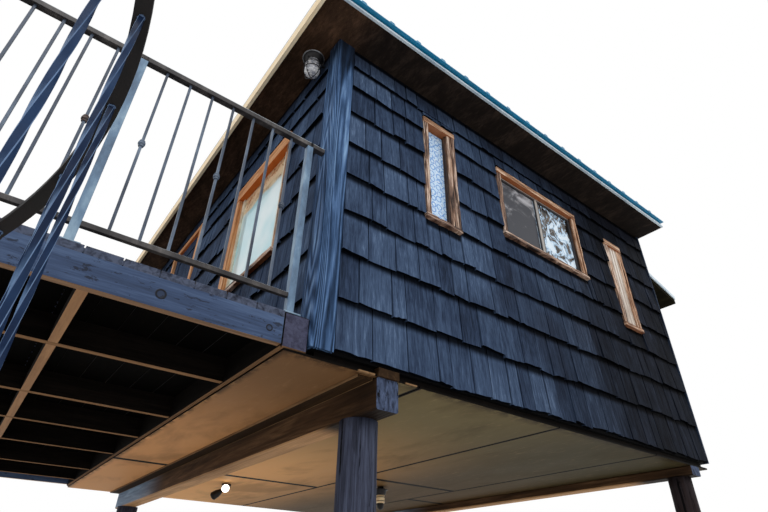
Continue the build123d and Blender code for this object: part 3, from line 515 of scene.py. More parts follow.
rimKnots = [((-0.722, 0.0, 2.575), 0.026), ((-0.229, 0.0, 2.572), 0.019), ((-1.30, 0.0, 2.60), 0.010),
            ((-1.95, 0.0, 2.6), 0.018), ((-2.6, 0.0, 2.56), 0.022)]
joistBrown = ((6, 5, 4), (15, 12, 10), (34, 28, 24))
tanUnder = ((88, 64, 44), (140, 106, 76), (172, 136, 100))
looks = {
    "charred_shakes": shakeLook("charredShakes"),
    "corner_board": cornerLook("cornerBoard"),
    "post_logs": logLook("postLogs"),
    "dark_timber": beamLook("beamTimber"),
    "painted_rim": woodLook("paintedRim", "x", (24, 32, 48), (54, 72, 104), (92, 114, 150), 0.55, 18,
                            0.002, under=tanUnder, knots=rimKnots, wear=((22, 24, 34), 6, 0.6, 0.5),
                            figure=0.08, flecks=(18, 20, 32)),
    "pale_blocking": woodLook("bareBlocking", "y", (10, 8, 7), (22, 17, 14), (44, 34, 26), 0.75, 24,
                              0.002, under=((128, 92, 62), (172, 130, 92), (204, 162, 118))),
    # their near-black undersides are painted shade
    "weathered_boards": woodLook("deckBoards", "y", (38, 36, 38), (70, 68, 70), (108, 104, 102), 0.8, 20,
                                 0.003, wear=((120, 116, 114), 4, 0.62, 0.3),
                                 end=((40, 43, 54), (84, 92, 112)),
                                 under=((1, 1, 1), (5, 4, 3), (14, 11, 8)), shine=0.03),
    "underside_panel": panelLook("undersidePanel"),
    # near-black framing: painted shade in the recess and gaps under the walls
    "hidden_framing": woodLook("floorFramingShade", "y", (8, 7, 6), (15, 12, 11), (30, 25, 22), shine=0.05),
    "inner_floor": woodLook("innerFloor", "y", (96, 66, 42), (140, 100, 66), (176, 134, 92), 0.45),
    "natural_trim": trimLook("naturalTrim"),
    "barge_timber": woodLook("bargeTimber", "y", (196, 168, 128), (246, 222, 184), (255, 246, 224), 0.7),
    "dark_soffit": soffitLook("darkSoffit"),
    "grey_sash": sashLook("greySash"),
    "pale_sash": paintLook("paleSash", (226, 220, 200), (190, 180, 156), 0.4),
    "dark_glass": widePanes("windowPanes"),
    "pale_glass": sidePanes("palePanes"),
    "patterned_glass": patternGlass("patternedGlass"),
    "teal_sheet": paintLook("tealSheet", (10, 128, 172), (8, 108, 146), 0.35, 0.1, 0.2, 1.6,
                            chips=((120, 150, 156), 16, 0.72)),
    "pale_edge": paintLook("paleEdge", (214, 228, 238), (168, 188, 204), 0.35, 0.1, 0.2, 3.0),
    "rail_metal": railLook("railMetal"),
    "stair_metal": barLook("stairMetal"),
    "handrail_metal": paintLook("handrailMetal", (22, 17, 18), (9, 8, 9), 0.5, 0.1, 0.0, 12,
                                chips=((70, 60, 60), 90, 0.68)),
    "cage_metal": paintLook("cageMetal", (170, 172, 176), (92, 94, 98), 0.3, 0.7),
    "clear_jar": jarLook("clearJar", (214, 218, 232), 0.5),
    "tan_jar": paintLook("tanJar", (255, 236, 196), (226, 190, 144), 0.3, pattern=20),
    "pale_bulb": paintLook("paleBulb", (252, 252, 250), (226, 226, 226), 0.3),
    "lit_lens": lensLook("litLens", (255, 240, 214), 5.0),
    "pale_bead": woodLook("paleBead", "y", (84, 64, 44), (122, 94, 66), (168, 136, 102), 0.7, shine=0.05),
    "batten_timber": woodLook("battenTimber", "y", (28, 19, 11), (52, 37, 24), (84, 63, 42), 0.7, shine=0.05),
    "lamp_metal": paintLook("lampMetal", (34, 33, 36), (14, 13, 15), 0.5, 0.2),
}
# near-black wall faces: painted shade in the gaps between the shakes
gapShade = woodLook("wallGapShade", "z", (1, 1, 2), (4, 4, 6), (8, 8, 10), 0.9, shine=0.1)
ownLooks = {
    "front_wall": gapShade, "left_wall": gapShade, "right_wall": gapShade, "back_wall": gapShade,
    "deck_joists": woodLook("joistTimber", "x", *joistBrown, 0.8, 20, 0.002, under=tanUnder, shine=0.03),
    "side_timber": woodLook("sideTimber", "y", *joistBrown, 0.7, 20, 0.003, end=((50, 50, 66), (76, 78, 100)),
                            under=tanUnder, shine=0.05),
    "lean_to_roof": woodLook("leanToBoards", "y", (10, 9, 5), (22, 20, 11), (44, 40, 24), 0.95, shine=0.05),
}
slots = {s["node"]: s["material_slot"] for s in frame["record"]["subparts"]}
for name, node in frame["nodes"].items():
    node.data.materials.clear()
    node.data.materials.append(ownLooks.get(name, looks[slots[name]]))
print("materials made:", len(looks) + len(ownLooks))


# helpers for meshes, all in metres from the cabin's near left corner
def newMesh(*layers):
    bm = bmesh.new()
    for name in layers:
        bm.faces.layers.float.new(name)
    return bm


def addBlock(bm, low, high, place=None):
    low, high = Vector(low), Vector(high)
    sized = Matrix.Translation((low + high) / 2) @ Matrix.Diagonal((*(high - low), 1))
    return bmesh.ops.create_cube(bm, size=1, matrix=(place or Matrix()) @ sized)["verts"]


def newSince(bm, count):  # the vertices made after the first so many
    bm.verts.ensure_lookup_table()
    return bm.verts[count:]


def shadeFaces(bm, verts, value, name="tone"):
    layer = bm.faces.layers.float[name]
    for face in {face for vert in verts for face in vert.link_faces}:
        face[layer] = value


def easeEdges(bm, offset):
    bmesh.ops.bevel(bm, geom=bm.edges, offset=offset, affect="EDGES", segments=1, profile=0.5, material=-1)


def keepPiece(name, bm, slot, look=None, stands=(), smooth=False):
    bmesh.ops.translate(bm, vec=home, verts=bm.verts)
    mesh = bpy.data.meshes.new(name)
    bm.to_mesh(mesh)
    bm.free()
    if smooth:
        mesh.shade_smooth()
    piece = addObject(name, mesh)
    mesh.materials.append(look or looks[slot])
    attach(piece, "root")
    if stands:
        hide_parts(*stands)
    print(name, "made:", len(mesh.polygons), "faces")
    return piece


def standAt(x, y, z=0, turn=0):
    return Matrix.Translation((x, y, z)) @ Matrix.Rotation(turn, 4, "Z")


# the walls face their own -Y in these places, with X running along the wall
wallPlaces = {
    "front": Matrix(),
    "left": standAt(0, cabinDepth, turn=-math.pi / 2),
    "right": standAt(cabinLength, 0, turn=math.pi / 2),
    "back": standAt(cabinLength, cabinDepth, turn=math.pi),
}
# openings along each wall: left, right, sill and head
openings = {
    "front": {"narrow": (0.768, 1.093, 3.677, 4.663), "wide": (1.588, 2.683, 3.897, 4.612),
              "narrowFar": (3.150, 3.430, 3.600, 4.550)},
    "left": {"side": (cabinDepth - 1.555, cabinDepth - 0.605, 3.400, 4.500),
             "door": (cabinDepth - 3.360, cabinDepth - 2.500, 2.644, 4.740)},
    "right": {"side": (0.605, 1.555, 3.260, 4.080), "ledge": (0.11, cabinDepth - 0.11, 4.290, 4.500)},
}
openings["back"] = {kind: (cabinLength - right, cabinLength - left, low, high)
                    for kind, (left, right, low, high) in openings["front"].items()}

# shakes in courses, each with a ragged and leaning butt; the spans stop at the corner boards
shakes = {"courses": (2.534, 2.840, 3.140, 3.416, 3.695, 3.964, 4.254, 4.507, 4.718, 4.926),
          "spans": {"front": (0.112, 3.949), "left": (0.112, cabinDepth - 0.112),
                    "right": (0.112, cabinDepth - 0.112), "back": (0.001, 3.838)},
          "width": (0.085, 0.245), "gap": (0.005, 0.013), "butt": (0.021, 0.032), "head": 0.006, "lap": 0.05,
          "into": 0.004, "edgeClear": 0.04, "shortest": 0.025, "cuts": 4, "ragged": 0.007, "raggedScale": 38,
          "lean": 0.014, "rise": 0.020}


def shakeCuts(start, end, held):
    least = shakes["width"][0]
    cuts = [start]
    while cuts[-1] < end - least:
        cuts.append(min(end, cuts[-1] + random.uniform(*shakes["width"])))
    if end - cuts[-1] < least * 0.6:
        cuts.pop()
    cuts.append(end)
    loose = [cut for cut in cuts if all(abs(cut - edge) > shakes["edgeClear"] for edge in held)]
    return sorted(set(loose + list(held) + [start, end]))


def layShakes(wall):
    start, end = shakes["spans"][wall]
    bm = newMesh("tone")
    bm.verts.layers.float.new("high")
    for low, high in zip(shakes["courses"], shakes["courses"][1:]):
        met = [opening for opening in openings[wall].values() if opening[2] < high and opening[3] > low]
        cuts = shakeCuts(start, end, [edge for opening in met for edge in opening[:2] if start < edge < end])
        for left, right in zip(cuts, cuts[1:]):
            spans = [(low, high)]
            for opening in met:
                if opening[0] < (left + right) / 2 < opening[1]:
                    spans = [(low, opening[2]), (opening[3], high)]
            for bottom, top in spans:
                if top - bottom > shakes["shortest"]:
                    addShake(bm, wallPlaces[wall], left, right, bottom, top, top == high)
    keepPiece(wall + "Shakes", bm, "charred_shakes")


def addShake(bm, place, left, right, bottom, top, lapped):
    s = shakes
    foot = bottom + random.uniform(0, s["rise"])
    butt = random.uniform(*s["butt"])
    gap = random.uniform(*s["gap"])
    head = top + (s["lap"] if lapped and top < s["courses"][-1] else 0)
    count = len(bm.verts)
    verts = addBlock(bm, (left + gap / 2, -butt, foot), (right - gap / 2, s["into"], head))
    for vert in verts:
        if vert.co.z > (foot + head) / 2 and vert.co.y < 0:
            vert.co.y = -s["head"]
    lean = random.uniform(-1, 1) * s["lean"]
    low = [edge for vert in verts for edge in vert.link_edges
           if all(v.co.z < foot + 0.001 for v in edge.verts) and edge.verts[0].co.y == edge.verts[1].co.y]
    bmesh.ops.subdivide_edges(bm, edges=list(set(low)), cuts=s["cuts"])
    every = newSince(bm, count)
    highs = bm.verts.layers.float["high"]
    for vert in every:
        vert[highs] = (vert.co.z - foot) / (head - foot)
        if vert.co.z < foot + 0.001:
            share = (vert.co.x - left) / (right - left) - 0.5
            rough = noise.noise(Vector((vert.co.x * s["raggedScale"], foot * 7, 1))) * s["ragged"]
            vert.co.z += lean * share + rough
    shadeFaces(bm, every, random.uniform(0, 1))
    bmesh.ops.transform(bm, matrix=place, verts=every)


for wall in ("front", "left", "right", "back"):
    layShakes(wall)

# log posts with checks down their sides: x, y, top and radius, each with its twin at the back
logs = {"near": (0.460, 0.250, 2.319, 0.108), "far": (3.720, 0.150, 2.409, 0.098), "flare": 0.014,
        "sides": 40, "rings": 26, "swell": 0.006, "checks": 7, "checkDepth": 0.012, "checkWidth": 0.09,
        "wander": 0.25}


def addLog(bm, x, y, top, radius):
    d = logs
    count = len(bm.verts)
    verts = bmesh.ops.create_cone(bm, cap_ends=True, segments=d["sides"], radius1=radius + d["flare"],
                                  radius2=radius, depth=top, matrix=standAt(x, y, top / 2))["verts"]
    upright = {edge for vert in verts for edge in vert.link_edges
               if abs(edge.verts[0].co.z - edge.verts[1].co.z) > top / 2}
    bmesh.ops.subdivide_edges(bm, edges=list(upright), cuts=d["rings"])
    checks = [(random.uniform(0, 2 * math.pi), random.uniform(0.2, 0.9) * top, random.uniform(0.3, 1.0))
              for _ in range(d["checks"])]
    for vert in newSince(bm, count):
        out = Vector((vert.co.x - x, vert.co.y - y, 0))
        angle = math.atan2(out.y, out.x)
        swell = noise.noise(Vector((out.x * 9, out.y * 9, vert.co.z * 1.7 + x))) * d["swell"]
        for turn, height, reach in checks:
            wander = turn + noise.noise(Vector((turn, 3, vert.co.z * 2))) * d["wander"]
            near = abs((angle - wander + math.pi) % (2 * math.pi) - math.pi)
            if near < d["checkWidth"] and abs(vert.co.z - height) < reach:
                swell -= d["checkDepth"] * (1 - near / d["checkWidth"])
        vert.co += out.normalized() * (swell - d["swell"])


def makeLogs():
    bm = newMesh()
    for x, y, top, radius in (logs["near"], logs["far"]):
        for deep in (y, cabinDepth - y):
            addLog(bm, x, deep, top, radius)
    keepPiece("logPosts", bm, "post_logs", stands=("house_posts",), smooth=True)


makeLogs()

# window casings: the widths of header, sill and jambs, and in "tone" how weathered each of the four is
casing = {"proud": 0.028, "back": 0.062, "lip": 0.034, "cuts": 15, "smooth": 0.003, "revealShade": (0.005, 0.001),
          "narrow": {"head": 0.050, "sill": 0.062, "left": 0.050, "right": 0.076, "rough": 0.014,
                     "tone": (0.1, 0.9, 1.0, 0.85)},
          "narrowFar": {"head": 0.060, "sill": 0.070, "left": 0.062, "right": 0.074, "rough": 0.010,
                        "tone": (-0.3, 0.5, 0.62, 0.35)},
          "wide": {"head": 0.050, "sill": 0.052, "left": 0.050, "right": 0.050, "rough": 0.014,
                   "tone": (0.0, 0.95, 0.8, 0.2)},
          "side": {"head": 0.120, "sill": 0.050, "left": 0.080, "right": 0.034, "rough": 0.006,
                   "tone": (0.0, 0.7, 0.15, 0.6)}}


def addBoard(bm, place, low, high, tone, wave):
    count = len(bm.verts)
    verts = addBlock(bm, low, high)
    size = [high[i] - low[i] for i in range(3)]
    along = size.index(max(size))
    runs = {edge for vert in verts for edge in vert.link_edges
            if abs(edge.verts[0].co[along] - edge.verts[1].co[along]) > size[along] / 2}
    bmesh.ops.subdivide_edges(bm, edges=list(runs), cuts=casing["cuts"])
    every = newSince(bm, count)
    middle = (Vector(low) + Vector(high)) / 2
    for vert in every:
        spot = Vector((vert.co.x, 4, vert.co.z))
        shift = (noise.noise_vector(spot * 7) + noise.noise_vector(spot * 23) * 0.6) * wave
        for i in (0, 2):
            if i != along:
                inward = 1 if vert.co[i] < middle[i] else -1
                vert.co[i] += inward * abs(shift[i])
        if vert.co.y < middle.y:
            vert.co.y += abs(shift.y) * 0.6
    shadeFaces(bm, every, tone)
    shadeFaces(bm, every, 0.0 if along == 2 else 1.0, "lie")
    bmesh.ops.transform(bm, matrix=place, verts=every)


def addCasing(bm, place, opening, kind):
    left, right, low, high = opening
    d = casing[kind]
    front, back, smooth, rough = -casing["proud"], casing["back"], casing["smooth"], d["rough"]
    header, sill, jamb, post = d["tone"]
    top, foot = high - d["head"], low + casing["lip"]
    inner, middle = right - d["right"], right - d["right"] * 0.45
    revealShade = casing["revealShade"]
    for start, end, tone, wave in (
            ((left, front, top), (right, back, high), header, 0.002),
            ((left - 0.012, front - 0.011, low - 0.004), (right, back, foot), sill, rough),
            ((left + d["left"] * 0.4, 0.004, low + 0.03), (right, back, low + d["sill"]), sill, smooth),
            ((left, front + 0.004, foot), (left + d["left"], back, top), jamb, rough),
            ((middle, front + 0.002, foot), (right, back, top), post, rough * 0.7),
            ((inner, front + 0.010, foot), (middle, back, top), post * 0.8, smooth),
            # a thin dark strip inside the right jamb: painted shade in the reveal
            ((inner - revealShade[0], front + 0.024, foot), (inner + revealShade[1], back, top), 2.0, 0.0)):
        addBoard(bm, place, start, end, tone, wave)


def makeCasings():
    for name, node, kinds in (("narrowCasings", "narrow_frames", ("narrow", "narrowFar")),
                              ("wideCasings", "wide_frames", ("wide",)),
                              ("sideCasings", "side_frames", ("side",))):
        bm = newMesh("tone", "lie")
        for kind in kinds:
            for wall in [wall for wall in openings if kind in openings[wall]]:
                addCasing(bm, wallPlaces[wall], openings[wall][kind], kind)
        keepPiece(name, bm, "natural_trim", stands=(node,))


# pale blinds in the far narrow windows, just inside their casings
blind = {"front": -0.013, "back": -0.006, "lap": 0.004, "foot": 0.04, "head": 0.05}


def makeBlinds():
    d, widths = blind, casing["narrowFar"]
    bm = newMesh()
    for wall, first, second in (("front", "left", "right"), ("back", "right", "left")):
        left, right, low, high = openings[wall]["narrowFar"]
        addBlock(bm, (left + widths[first] - d["lap"], d["front"], low + d["foot"]),
                 (right - widths[second] + d["lap"], d["back"], high - d["head"]), wallPlaces[wall])
    keepPiece("farBlinds", bm, "patterned_glass")


makeCasings()
makeBlinds()

# twisted square balusters under the spiral handrail, two to a tread; the stair's own sizes, then a baluster's
stair = {"pole": (-1.896, -0.969), "radius": 0.762, "rise": 2.680 / 12, "angle": 30.0, "treads": 11,
         "lastNosing": 205.5, "lip": 0.036, "railOver": 1.055,
         "step": 15.0, "half": 0.0067, "worn": 0.0012, "pitch": 0.60, "perTurn": 32, "headGap": 0.004,
         "weld": 0.009, "weldRough": 0.004, "weldDrop": 0.003, "sharp": 35}


def addBaluster(bm, x, y, foot, head, angle):
    d = stair
    inner = d["half"] - d["worn"]
    section = bmesh.ops.create_circle(bm, cap_ends=True, segments=8, radius=1,
                                      matrix=standAt(0, 0, turn=math.pi / 8))["verts"]
    for vert in section:
        wide = abs(vert.co.x) > abs(vert.co.y)
        vert.co = (math.copysign(d["half"] if wide else inner, vert.co.x),
                   math.copysign(inner if wide else d["half"], vert.co.y), 0)
    bmesh.ops.transform(bm, matrix=standAt(x, y, foot, math.radians(angle + 45)), verts=section)
    parts = list({part for vert in section for part in (*vert.link_edges, *vert.link_faces)})
    turns = (head - foot) / d["pitch"]
    steps = round(turns * d["perTurn"])
    bmesh.ops.spin(bm, geom=section + parts, cent=(x, y, foot), axis=(0, 0, 1), angle=2 * math.pi * turns,
                   dvec=(0, 0, (head - foot) / steps), steps=steps, use_merge=False)


def makeBalusters():
    d = stair
    base = d["lastNosing"] + d["treads"] * d["angle"]
    bm = newMesh("tone")
    heads = []
    for index in range(int(d["treads"] * d["angle"] / d["step"])):
        angle = base - (index + 0.5) * d["step"]
        foot = (int(index * d["step"] / d["angle"]) + 1) * d["rise"] - d["lip"]
        head = d["railOver"] + d["rise"] + (base - angle) * d["rise"] / d["angle"] - d["headGap"]
        x = d["pole"][0] + d["radius"] * math.cos(math.radians(angle))
        y = d["pole"][1] + d["radius"] * math.sin(math.radians(angle))
        addBaluster(bm, x, y, foot, head, angle)
        heads.append((x, y, head))
    corner = d["half"] * d["pitch"] / d["perTurn"]  # the faces along the worn corners are smaller than this
    # tone 1 on the worn corners' faces carries a painted highlight
    layer = bm.faces.layers.float["tone"]
    for face in bm.faces:
        face[layer] = 1.0 if len(face.verts) == 4 and face.calc_area() < corner else 0.0
    for spot in heads:
        place = standAt(*spot)
        verts = bmesh.ops.create_icosphere(bm, subdivisions=2, radius=d["weld"], matrix=place)["verts"]
        for vert in verts:
            vert.co += noise.noise_vector(vert.co * 90) * d["weldRough"]
            vert.co.z = spot[2] - d["weldDrop"] + (vert.co.z - spot[2]) * 0.5
        # tone 0.8 gives the welds a painted highlight
        shadeFaces(bm, verts, 0.8)
    bmesh.ops.recalc_face_normals(bm, faces=bm.faces)
    piece = keepPiece("twistedBalusters", bm, "stair_metal", stands=("stair_balusters",), smooth=True)
    piece.data.set_sharp_from_angle(angle=math.radians(d["sharp"]))


makeBalusters()


# shapes made on their own and then joined to a piece
def joinShape(bm, part, place, tone=None):
    bmesh.ops.recalc_face_normals(part, faces=part.faces)
    if tone is not None:
        part.faces.layers.float.new("tone")
        shadeFaces(part, part.verts, tone)
    bmesh.ops.transform(part, matrix=place, verts=part.verts)
    mesh = bpy.data.meshes.new("shape")
    part.to_mesh(mesh)
    part.free()
    bm.from_mesh(mesh)
    bpy.data.meshes.remove(mesh)


def turnProfile(bm, points, place, steps=28, tone=None):
    part = bmesh.new()
    chain = [part.verts.new((radius, 0, z)) for radius, z in points]
    edges = [part.edges.new(pair) for pair in zip(chain, chain[1:])]
    bmesh.ops.spin(part, geom=chain + edges, cent=(0, 0, 0), axis=(0, 0, 1), angle=2 * math.pi, steps=steps,
                   use_merge=True)
    bmesh.ops.remove_doubles(part, verts=part.verts, dist=1e-5)
    joinShape(bm, part, place, tone)


def addHoop(bm, reach, wire, place, turn=2 * math.pi, steps=24):
    part = bmesh.new()
    spot = Matrix.Translation((reach, 0, 0)) @ Matrix.Rotation(math.pi / 2, 4, "X")
    ring = bmesh.ops.create_circle(part, cap_ends=False, segments=6, radius=wire, matrix=spot)["verts"]
    bmesh.ops.spin(part, geom=ring + part.edges[:], cent=(0, 0, 0), axis=(0, 0, 1), angle=turn, steps=steps,
                   use_merge=turn > 6.28)
    ends = [edge for edge in part.edges if edge.is_boundary]
    if ends:
        bmesh.ops.holes_fill(part, edges=ends, sides=6)
    joinShape(bm, part, place)


def addRod(bm, start, end, radius, sides=12):
    start, end = Vector(start), Vector(end)
    run = end - start
    place = Matrix.Translation((start + end) / 2) @ run.to_track_quat("Z", "Y").to_matrix().to_4x4()
    bmesh.ops.create_cone(bm, cap_ends=True, segments=sides, radius1=radius, radius2=radius, depth=run.length,
                          matrix=place)


# railings: square posts on plates, slim pickets with forged collars between a top rail and a low rail
railing = {"top": 3.852, "rail": (0.038, 0.032), "low": (2.780, 0.025), "post": 0.038, "foot": 2.680,
           "plate": (0.090, 0.008), "picket": 0.013, "pitch": 0.1225, "ease": 0.0015,
           "stub": (-0.121, -0.022), "collar": 3.312, "collarEvery": 3, "collarSteps": 14,
           "collarShape": ((0, -0.018), (0.012, -0.018), (0.0135, -0.013), (0.011, -0.010), (0.0165, -0.005),
                           (0.0165, 0.005), (0.011, 0.010), (0.0135, 0.013), (0.012, 0.018), (0, 0.018))}
barTone = {"picket": 0.0, "post": 0.3, "rail": 0.6, "rust": 1.0}
# the posts' places in each run of railing; the side run turns both corners
railPlaces = {
    "front": [(-0.121, 0.05), (-1.101, 0.05), (-2.081, 0.05)],
    "side": [(-2.89, 0.05 + index * (cabinDepth - 0.1) / 5) for index in range(6)],
    "back": [(-2.89 + index * 2.769 / 3, cabinDepth - 0.05) for index in range(4)],
    "landing": [(-2.706, -0.05), (-2.706, -0.969)],
    "landingEnd": [(-2.537, -1.255), (-2.706, -0.969)],
}


def addBar(bm, kind, x, y, half, low, high, place=None):  # an upright bar about a spot
    verts = addBlock(bm, (x - half, y - half, low), (x + half, y + half, high), place)
    shadeFaces(bm, verts, barTone[kind])


def addRail(bm, low, high, place=None):
    shadeFaces(bm, addBlock(bm, low, high, place), barTone["rail"])


def addRailing(bm, posts, collars, first=0, stub=None):
    d = railing
    half, under = d["rail"][0] / 2, d["top"] - d["rail"][1]
    for x, y in posts[first:]:
        addBar(bm, "post", x, y, d["post"] / 2, d["foot"], under)
        addBar(bm, "post", x, y, d["plate"][0] / 2, d["foot"], d["foot"] + d["plate"][1])
    low, size = d["low"]
    for start, end in zip(posts, posts[1:]):
        run = Vector((*end, 0)) - Vector((*start, 0))
        place = standAt(*start, turn=math.atan2(run.y, run.x))
        addRail(bm, (-half, -half, under), (run.length + half, half, d["top"]), place)
        addRail(bm, (0, -size / 2, low), (run.length, size / 2, low + size), place)
        count = max(1, round(run.length / d["pitch"]) - 1)
        for index in range(1, count + 1):
            x = index * run.length / (count + 1)
            addBar(bm, "picket", x, 0, d["picket"] / 2, low + size / 2, d["top"] - d["rail"][1] / 2, place)
            if index % d["collarEvery"] == 1:
                collars.append(place @ Matrix.Translation((x, 0, d["collar"])))
    if stub:  # the short end of the rail that meets the wall
        addRail(bm, (d["stub"][0], stub - half, under), (d["stub"][1], stub + half, d["top"]))


def makeRailing(name, nodes, runs):
    bm = newMesh("tone")
    collars = []
    for run, first, stub in runs:
        addRailing(bm, railPlaces[run], collars, first, stub)
    easeEdges(bm, railing["ease"])
    for place in collars:
        tone = barTone[random.choice(("picket", "picket", "rust"))]
        turnProfile(bm, railing["collarShape"], place, railing["collarSteps"], tone)
    keepPiece(name, bm, "rail_metal", stands=nodes)


makeRailing("deckRailing", ("rail_front", "rail_side", "rail_back"),
            (("front", 0, 0.05), ("side", 0, None), ("back", 1, cabinDepth - 0.05)))
makeRailing("landingRailing", ("landing_guard", "landing_guard_end"),
            (("landing", 0, None), ("landingEnd", 0, None)))

# lamps: turned caps, jars and heads, each profile as radius and height below the lamp's place
lamp = {"corner": (-0.112, 0.185, 4.868), "under": (2.370, 2.560, 2.484),
        "cap": ((0, 0), (0.028, 0), (0.034, -0.016), (0.076, -0.026), (0.079, -0.031), (0.060, -0.034),
                (0.058, -0.060), (0.054, -0.068), (0.050, -0.080), (0, -0.080)),
        "jar": ((0, -0.078), (0.052, -0.078), (0.056, -0.095), (0.056, -0.172), (0.049, -0.196),
                (0.030, -0.214), (0, -0.220)),
        "bulb": ((0, -0.080), (0.014, -0.085), (0.016, -0.105), (0.027, -0.135), (0.024, -0.160),
                 (0, -0.170)),
        "underJar": ((0, -0.080), (0.042, -0.080), (0.044, -0.095), (0.044, -0.145), (0.040, -0.154),
                     (0, -0.156)),
        "underFoot": ((0, -0.155), (0.034, -0.155), (0.037, -0.165), (0.032, -0.195), (0.018, -0.212),
                      (0, -0.214)),
        "rim": (0.077, 0.004, -0.030), "underHoops": (0.046, 0.003, (-0.100, -0.136)),
        "guard": 0.062, "wire": 0.0028, "guardHoops": (-0.110, -0.160), "guardFoot": -0.178,
        "guardHead": -0.060, "arm": (0.052, 0.011), "armPlate": 0.036}
flood = {"place": (1.090, 3.500, 2.484), "litAim": (-0.34, -0.80, -0.16), "darkAim": (-0.62, 0.36, -0.50),
         "base": ((0, 0), (0.046, 0), (0.046, -0.012), (0.040, -0.034), (0, -0.036)), "drop": 0.036,
         "neck": (0.05, 0.010),
         "head": ((0, 0), (0.022, 0), (0.026, 0.012), (0.037, 0.044), (0.040, 0.084), (0.041, 0.096),
                  (0.035, 0.096), (0.034, 0.084), (0, 0.082)),
         "lens": ((0, 0.083), (0.034, 0.086), (0.036, 0.097), (0.024, 0.108), (0, 0.112))}


def addGuard(bm, place):  # two hoops and four wires that bend in under the jar
    d = lamp
    for height in d["guardHoops"]:
        addHoop(bm, d["guard"], d["wire"], place @ Matrix.Translation((0, 0, height)))
    for index in range(4):
        turn = place @ Matrix.Rotation(index * math.pi / 2 + 0.4, 4, "Z")
        arc = turn @ Matrix.Translation((0, 0, d["guardFoot"])) @ Matrix.Rotation(math.pi / 2, 4, "X")
        addHoop(bm, d["guard"], d["wire"], arc @ Matrix.Rotation(-math.pi / 2, 4, "Z"), math.pi / 2, 6)
        ends = [turn @ Vector((d["guard"], 0, d[end])) for end in ("guardFoot", "guardHead")]
        addRod(bm, *ends, d["wire"], 6)


def makeCornerLamp():
    d = lamp
    place = Matrix.Translation(d["corner"])
    metal, wires, glass, bulb = (newMesh() for _ in range(4))
    turnProfile(metal, d["cap"], place)
    reach, wire, height = d["rim"]
    addHoop(wires, reach, wire, place @ Matrix.Translation((0, 0, height)), steps=32)
    addGuard(metal, place)
    x, y, z = d["corner"]
    drop, radius = d["arm"]
    addRod(metal, (x + 0.03, y, z - drop), (-0.004, y, z - drop), radius)
    addRod(wires, (-0.012, y, z - drop), (-0.0005, y, z - drop), d["armPlate"], 24)
    turnProfile(glass, d["jar"], place)
    turnProfile(bulb, d["bulb"], place)
    keepPiece("cornerLampBody", metal, "lamp_metal", stands=("corner_lamp",), smooth=True)
    for name, bm, look in (("cornerLampRings", wires, "cage_metal"), ("cornerLampJar", glass, "clear_jar"),
                           ("cornerLampBulb", bulb, "pale_bulb")):
        keepPiece(name, bm, "lamp_metal", looks[look], smooth=True)


def makeUnderLights():
    d, f = lamp, flood
    place = Matrix.Translation(d["under"])
    metal, glass, lens = (newMesh() for _ in range(3))
    turnProfile(metal, d["cap"], place)
    turnProfile(glass, d["underJar"], place)
    turnProfile(metal, d["underFoot"], place)
    reach, wire, heights = d["underHoops"]
    for height in heights:
        addHoop(metal, reach, wire, place @ Matrix.Translation((0, 0, height)))
    turnProfile(metal, f["base"], Matrix.Translation(f["place"]))
    hub = Vector(f["place"]) - Vector((0, 0, f["drop"]))
    for aim, lit in (f["litAim"], lens), (f["darkAim"], metal):
        neck = hub + Vector(aim).normalized() * f["neck"][0]
        addRod(metal, hub, neck, f["neck"][1])
        head = Matrix.Translation(neck) @ Vector(aim).to_track_quat("Z", "Y").to_matrix().to_4x4()
        turnProfile(metal, f["head"], head)
        turnProfile(lit, f["lens"], head)
    keepPiece("underLightBodies", metal, "lamp_metal", stands=("under_lights",), smooth=True)
    keepPiece("underLightLens", lens, "lamp_metal", looks["lit_lens"], smooth=True)
    keepPiece("underLightJar", glass, "lamp_metal", looks["tan_jar"], smooth=True)


makeCornerLamp()
makeUnderLights()

# dirt that fills most of the gaps between the deck's boards; one gap is mostly open
deckDirt = {"start": -2.940, "boards": 19, "pitch": 2.784 / 19, "gap": 0.006, "low": 2.648, "high": 2.670,
            "open": 13, "inset": 0.003, "side": 0.0002, "last": 0.02, "run": (0.6, 1.4), "space": 0.0015,
            "openRun": (0.02, 0.09), "openSpace": (0.012, 0.03)}


def makeDeckDirt():
    d = deckDirt
    bm = newMesh()
    for index in range(1, d["boards"]):
        x = d["start"] + index * d["pitch"] - d["gap"]
        sparse = index == d["open"]
        y = d["inset"]
        while y < cabinDepth - d["last"]:
            reach = min(random.uniform(*d["openRun" if sparse else "run"]), cabinDepth - d["inset"] - y)
            addBlock(bm, (x + d["side"], y, d["low"]), (x + d["gap"] - d["side"], y + reach, d["high"]))
            y += reach + (random.uniform(*d["openSpace"]) if sparse else d["space"])
    keepPiece("deckDirt", bm, "weathered_boards")


makeDeckDirt()

# trim under the floor: a flat batten beside the beam, a packing block on it and slivers at the sheets' edge
underTrim = {"batten": ((0.292, 0.03, 2.471), (0.383, 4.86, 2.484)), "battenEase": 0.002,
             "block": ((0.392, -0.014, 2.484), (0.528, 0.03, 2.531)),
             "bead": (0.0028, 0.002), "beadEase": 0.001,
             "slivers": (((0.270, -0.010, 2.483), (0.372, 0.010, 2.492)),
                         ((0.575, -0.008, 2.485), (0.655, 0.008, 2.493)))}


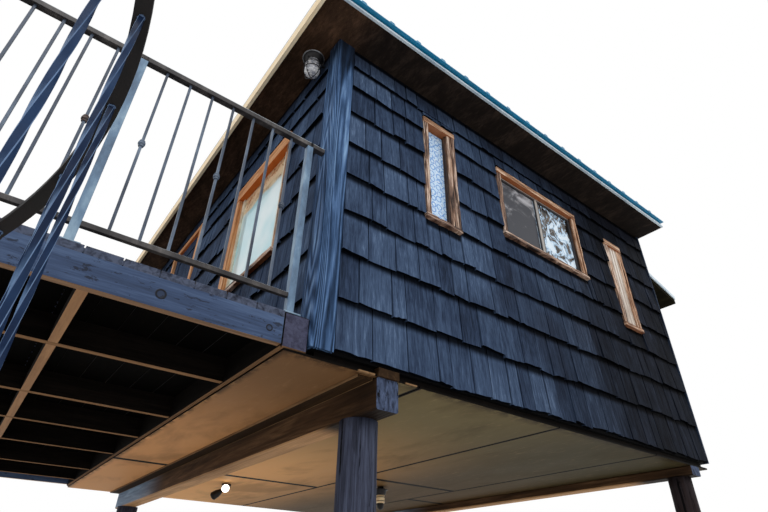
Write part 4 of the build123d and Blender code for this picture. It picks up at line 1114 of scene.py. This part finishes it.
def makeUnderTrim():
    d = underTrim
    bm = newMesh()
    low, high = d["batten"]
    addBlock(bm, low, high)
    addBlock(bm, *d["block"])
    easeEdges(bm, d["battenEase"])
    keepPiece("underBatten", bm, "dark_timber", looks["batten_timber"])
    bm = newMesh()
    width, proud = d["bead"]
    for x in (low[0], high[0]):
        addBlock(bm, (x - width / 2, low[1], low[2] - proud), (x + width / 2, high[1], high[2]))
    for sliver in d["slivers"]:
        addBlock(bm, *sliver)
    easeEdges(bm, d["beadEase"])
    keepPiece("underBeads", bm, "pale_blocking", looks["pale_bead"])


makeUnderTrim()

# light: an even pale surround and one soft lamp, over a plain pale floor
light = {"around": 0.85, "lamp": 0.9, "lampFrom": (-0.5, -0.75, 1.1), "lampSpread": 40, "floorRadius": 60}


def makeLight():
    d = light
    world = bpy.data.worlds.new("paleSurround")
    bpy.context.scene.world = world
    world.use_nodes = True
    nodes, links = world.node_tree.nodes, world.node_tree.links
    path = nodes.new("ShaderNodeLightPath")
    seen = path.outputs["Is Camera Ray"]
    for ray in ("Is Glossy Ray", "Is Transmission Ray"):  # metal and glass show the white surround too
        either = nodes.new("ShaderNodeMath")
        either.operation = "MAXIMUM"
        links.new(seen, either.inputs[0])
        links.new(path.outputs[ray], either.inputs[1])
        seen = either.outputs[0]
    level = nodes.new("ShaderNodeMapRange")
    level.inputs["To Min"].default_value = d["around"]
    links.new(seen, level.inputs["Value"])
    links.new(level.outputs[0], nodes["Background"].inputs["Strength"])
    nodes["Background"].inputs["Color"].default_value = (1, 1, 1, 1)
    soft = bpy.data.lights.new("softLamp", "SUN")
    soft.energy = d["lamp"]
    soft.angle = math.radians(d["lampSpread"])
    addObject("softLamp", soft).rotation_euler = Vector(d["lampFrom"]).to_track_quat("Z", "Y").to_euler()
    bm = newMesh()
    bmesh.ops.create_circle(bm, cap_ends=True, radius=d["floorRadius"], segments=96)
    mesh = bpy.data.meshes.new("floor")
    bm.to_mesh(mesh)
    bm.free()
    floor = addObject("floor", mesh)
    mesh.materials.append(paintLook("paleFloor", (232, 230, 226), (226, 224, 220), 0.8))
    print("light and floor made")


makeLight()
bpy.context.scene.view_settings.view_transform = "Standard"
